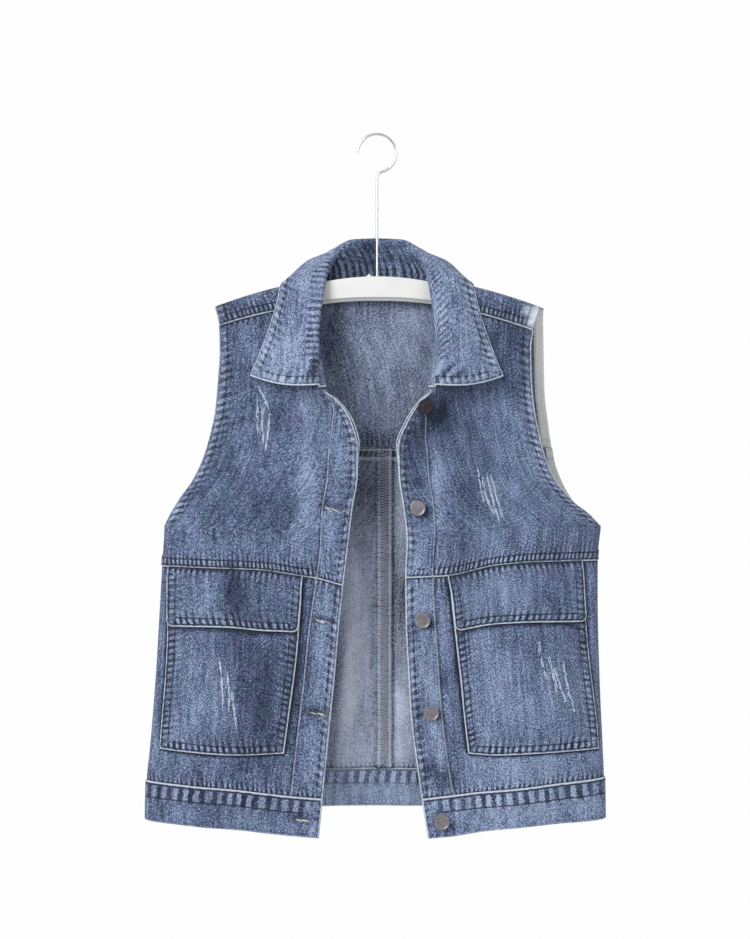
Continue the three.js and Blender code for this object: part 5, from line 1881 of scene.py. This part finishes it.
@dataclass
class Hanger:
    """The flat white board and its wire hook."""

    body: VestBody
    half: float = 166.0
    blocks: int = 48
    top_z: float = -157.0
    arch: float = 8.0
    clear: float = 3.4
    height: float = 27.0
    end_height: float = 15.0
    end_start: float = 0.93
    thick: float = 9.0
    lip: float = 12.5
    lip_height: float = 4.0
    wire: float = 2.8
    hook_radius: float = 20.0
    bend: float = 7.0

    def _edges(self, x: float) -> tuple[float, float]:
        """Heights of the board's lower and upper edge, drawn in round its ends."""
        top = self.top_z - self.arch * (x / self.body.neck_half) ** 2
        if abs(x) >= self.body.neck_half:
            top = float(self.body.crest(np.array(x))) - self.clear
        far = min(abs(x) / self.half, 1.0)
        end = math.sqrt(max(0.0, 1 - max(0.0, (far - self.end_start) / (1 - self.end_start)) ** 2))
        height = mix(self.height, self.end_height, far**1.5) * mix(0.35, 1.0, end)
        if far > self.end_start:
            top -= 0.4 * (self.end_height - height)
        return top - height, top

    def board(self, finish: Finish) -> None:
        """Models the board: a short block, extruded along its arch, with a moulded lip."""
        Bench.clear()
        step, low = self.half / self.blocks, self._edges(0.0)[0]
        bpy.ops.mesh.primitive_cube_add(
            size=1, location=(0, 0, (low + self.height / 2) * MM),
            scale=(2 * step * MM, self.thick * MM, self.height * MM))
        made = Bench.take("hanger_board_white")
        Bench.edit(made, "SELECT")
        bpy.ops.mesh.bisect(plane_co=(0, 0, (low + self.lip_height) * MM), plane_no=(0, 0, 1))
        for way in (1, -1):
            Bench.pick(made, lambda c, n, w=way: n.x * w > 0.5)
            for _ in range(self.blocks - 1):
                Bench.push((way * step, 0, 0))
        bpy.ops.object.mode_set(mode="OBJECT")
        for vertex in made.data.vertices:
            bottom, top = self._edges(vertex.co.x / MM)
            share = (vertex.co.z / MM - low) / self.height
            if 0.01 < share < 0.5:
                share = min(self.lip_height / (top - bottom), 0.5)
            vertex.co.z = mix(bottom, top, share) * MM
        Bench.edit(made)
        Bench.pick(made, lambda c, n: abs(n.y) > 0.9 and self._is_lip(c))
        bpy.ops.mesh.extrude_region_shrink_fatten(
            TRANSFORM_OT_shrink_fatten={"value": (self.lip - self.thick) / 2 * MM})
        bpy.ops.object.mode_set(mode="OBJECT")
        for vertex in made.data.vertices:
            if vertex.co.z / MM < self._edges(vertex.co.x / MM)[0] + 0.5:
                vertex.co.y *= 0.42
        Bench.bevel(made, 0.7, 40)
        self._peak(made)
        # Marks the lip's front faces for the lacquer's painted grey shade.
        lay(made, "lip", "FLOAT", [self._is_lip(v.co) and v.co.y < -4.6 * MM
                                   for v in made.data.vertices])
        Bench.finish(made, finish, "hanger_white", "hanger_board", 30)

    def _peak(self, board: Item) -> None:
        """Joins the small peak on the board's upper edge, left of the shank."""
        Bench.clear()
        bpy.ops.mesh.primitive_cone_add(
            vertices=4, radius1=4.2 * MM, radius2=0.5 * MM, depth=3.6 * MM,
            location=(-8.8 * MM, 0, (self.top_z + 1.2) * MM))
        peak = Bench.take("peak")
        for vertex in peak.data.vertices:
            vertex.co.y *= 0.6
        board.select_set(True)
        bpy.context.view_layer.objects.active = board
        bpy.ops.object.join()

    def _is_lip(self, centre: Vector) -> bool:
        """Whether a face of the board lies along its lower lip."""
        bottom, top = self._edges(centre.x / MM)
        return centre.z / MM < bottom + min(self.lip_height, 0.5 * (top - bottom))

    def hook(self, finish: Finish) -> None:
        """Models the hook: a disc drawn up into a shank, bent once, then spun round."""
        Bench.clear()
        radius, centre_z = self.hook_radius + self.wire / 2, -self.hook_radius
        start_z = self.top_z + 0.3
        bend_z = centre_z - math.sqrt((radius + self.bend) ** 2 - self.bend**2)
        turn = math.acos(self.bend / (radius + self.bend))
        end = math.asin(self.bend / radius) + math.radians(250)
        bpy.ops.mesh.primitive_circle_add(
            vertices=16, radius=self.wire / 2 * MM, fill_type="NGON",
            location=(0, 0, start_z * MM))
        made = Bench.take("hanger_hook_wire")
        Bench.edit(made, "SELECT")
        Bench.push((0, 0, bend_z - start_z))
        bpy.ops.mesh.spin(
            steps=10, angle=turn, center=(self.bend * MM, 0, bend_z * MM), axis=(0, -1, 0))
        bpy.ops.mesh.spin(steps=48, angle=end - (math.pi / 2 - turn),
                          center=(0, 0, centre_z * MM), axis=(0, 1, 0))
        Bench.finish(made, finish, "hook_steel", "hanger_hook", 60)


@dataclass(frozen=True)
class Studio:
    """A pale floor, soft lights and the camera."""

    distance: float = 2500.0
    aim: tuple[float, float, float] = (-2.2, -25.0, -371.25)
    picture_height: float = 939 * 1.1
    floor_z: float = -1150.0
    floor_size: float = 2.2
    sensor: float = 36.0

    def floor(self) -> None:
        """A wide plain floor."""
        Bench.clear()
        bpy.ops.mesh.primitive_plane_add(size=self.floor_size, location=(0, 0, self.floor_z * MM))
        made = Bench.take("studio_floor")
        graph = Graph(bpy.data.materials.new("studio_floor"))
        made.data.materials.append(graph.close(graph.add("ShaderNodeBsdfPrincipled", {
            "Base Color": (0.9, 0.9, 0.9, 1.0), "Roughness": 0.9})))
        Bench.clear()

    def camera(self) -> None:
        """The camera, level and straight on."""
        data = bpy.data.cameras.new("camera")
        data.sensor_width = self.sensor
        data.lens = self.sensor * self.distance / self.picture_height
        data.clip_end = 50
        made = in_scene("camera", data)
        made.location = Vector(self.aim) * MM + Vector((0, -self.distance * MM, 0))
        made.rotation_euler = (math.pi / 2, 0, 0)
        bpy.context.scene.camera = made

    def lamp(self, name: str, place: Colour, size: float, power: float) -> None:
        """A soft square lamp that faces the vest, at a place, with a size and a power."""
        data = bpy.data.lights.new(name, "AREA")
        data.size, data.energy = size, power
        made = in_scene(name, data)
        made.location = place
        aim = Vector((0, 0, -0.42)) - Vector(place)
        made.rotation_euler = aim.to_track_quat("-Z", "Y").to_euler()

    def lights(self) -> None:
        """Soft light from the front and above, and an even white surround."""
        self.lamp("key", (-1.5, -2.0, 0.9), 1.3, 62.0)
        self.lamp("fill", (1.8, -2.2, 0.0), 1.8, 14.0)
        self.lamp("rim", (0.6, 2.0, 0.9), 1.5, 25.0)
        bpy.context.scene.world = world = bpy.data.worlds.new("surround")
        graph = Graph(world)
        lit, seen = (graph.add("ShaderNodeBackground", {"Color": colour, "Strength": power})
                     for colour, power in (((0.96, 0.98, 1.0, 1.0), 0.52),
                                           ((0.99, 0.99, 1.0, 1.0), 1.0)))
        camera = graph.add("ShaderNodeLightPath", output="Is Camera Ray")
        graph.close(graph.add("ShaderNodeMixShader", {0: camera, 1: lit, 2: seen}), "World")
        bpy.context.scene.view_settings.view_transform = "Standard"


def main() -> None:
    """Builds the vest, its hanger and the studio."""
    logging.basicConfig(level=logging.INFO, format="%(message)s")
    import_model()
    studio = Studio()
    studio.camera()
    body = VestBody()
    denim = Denim().make()
    thread, web, light, pale, tan, shadow = (
        Thread(name, screen(colour), screen(dark)).make() for name, colour, dark in (
            ("thread_blue", (44, 54, 82), (18, 24, 44)),
            ("thread_web", (212, 214, 226), (132, 134, 152)),
            ("thread_light", (178, 194, 220), (124, 140, 172)),
            ("thread_pale", (226, 232, 243), (168, 182, 204)),
            ("thread_tan", (150, 138, 130), (70, 62, 62)),
            ("slit_shadow", (28, 30, 40), (12, 14, 22))))

    for side in Side:
        front = FrontSide(body, side)
        upper, lower, band = front.upper(), front.lower(), front.waistband()
        sewing, strip = Sewing(), Sewing()
        for cloth in (upper, lower, band, front.facing_strip(upper.grid, lower.grid),
                      front.pocket(lower.grid), front.flap(lower.grid)):
            slot = "denim_reverse" if cloth.name.startswith("front_facing") else "denim"
            cloth.build(denim, slot)
            sewing.follow(cloth.paths())
            strip.follow(cloth.paths(pale=True))
        sewing.build(f"stitching_front_{side.value}", thread)
        strip.build(f"stitching_strip_{side.value}", light)

    back = BackPanels(body)
    halves = [back.half(side) for side in Side]
    band, yoke, collar = back.waistband(), Yoke(body).build(), Collar(body).build()
    sewing, inside = Sewing(), Sewing()
    for cloth in (*halves, band, yoke):
        cloth.build(denim)
        sewing.follow(cloth.paths())
        inside.follow(cloth.paths(inside=True))
    sewing.build("stitching_back", thread)
    inside.build("stitching_inside", light)
    Overlock().build(body, pale, web)
    collar.build(denim)
    sewing = Sewing()
    sewing.follow(collar.paths())
    sewing.build("stitching_collar", thread)

    Scratches().build(body, pale)
    Buttonhole().build(body, tan, pale, shadow)
    # The top button's darker metal is painted shade: it hangs in the collar's shadow.
    ShankButton().place(
        body, Metal("button_metal", screen((170, 165, 172)), screen((124, 117, 121)), 0.3).make(),
        Metal("button_painted_shade", screen((88, 82, 84)), screen((48, 46, 52)), 0.4).make())
    hanger = Hanger(body)
    hanger.board(WhiteLacquer().make())
    hanger.hook(Metal("hook_steel", screen((232, 230, 230)), screen((214, 212, 212)), 0.22,
                      grain=0.02).make())
    studio.floor()
    studio.lights()


if __name__ == "__main__":
    main()
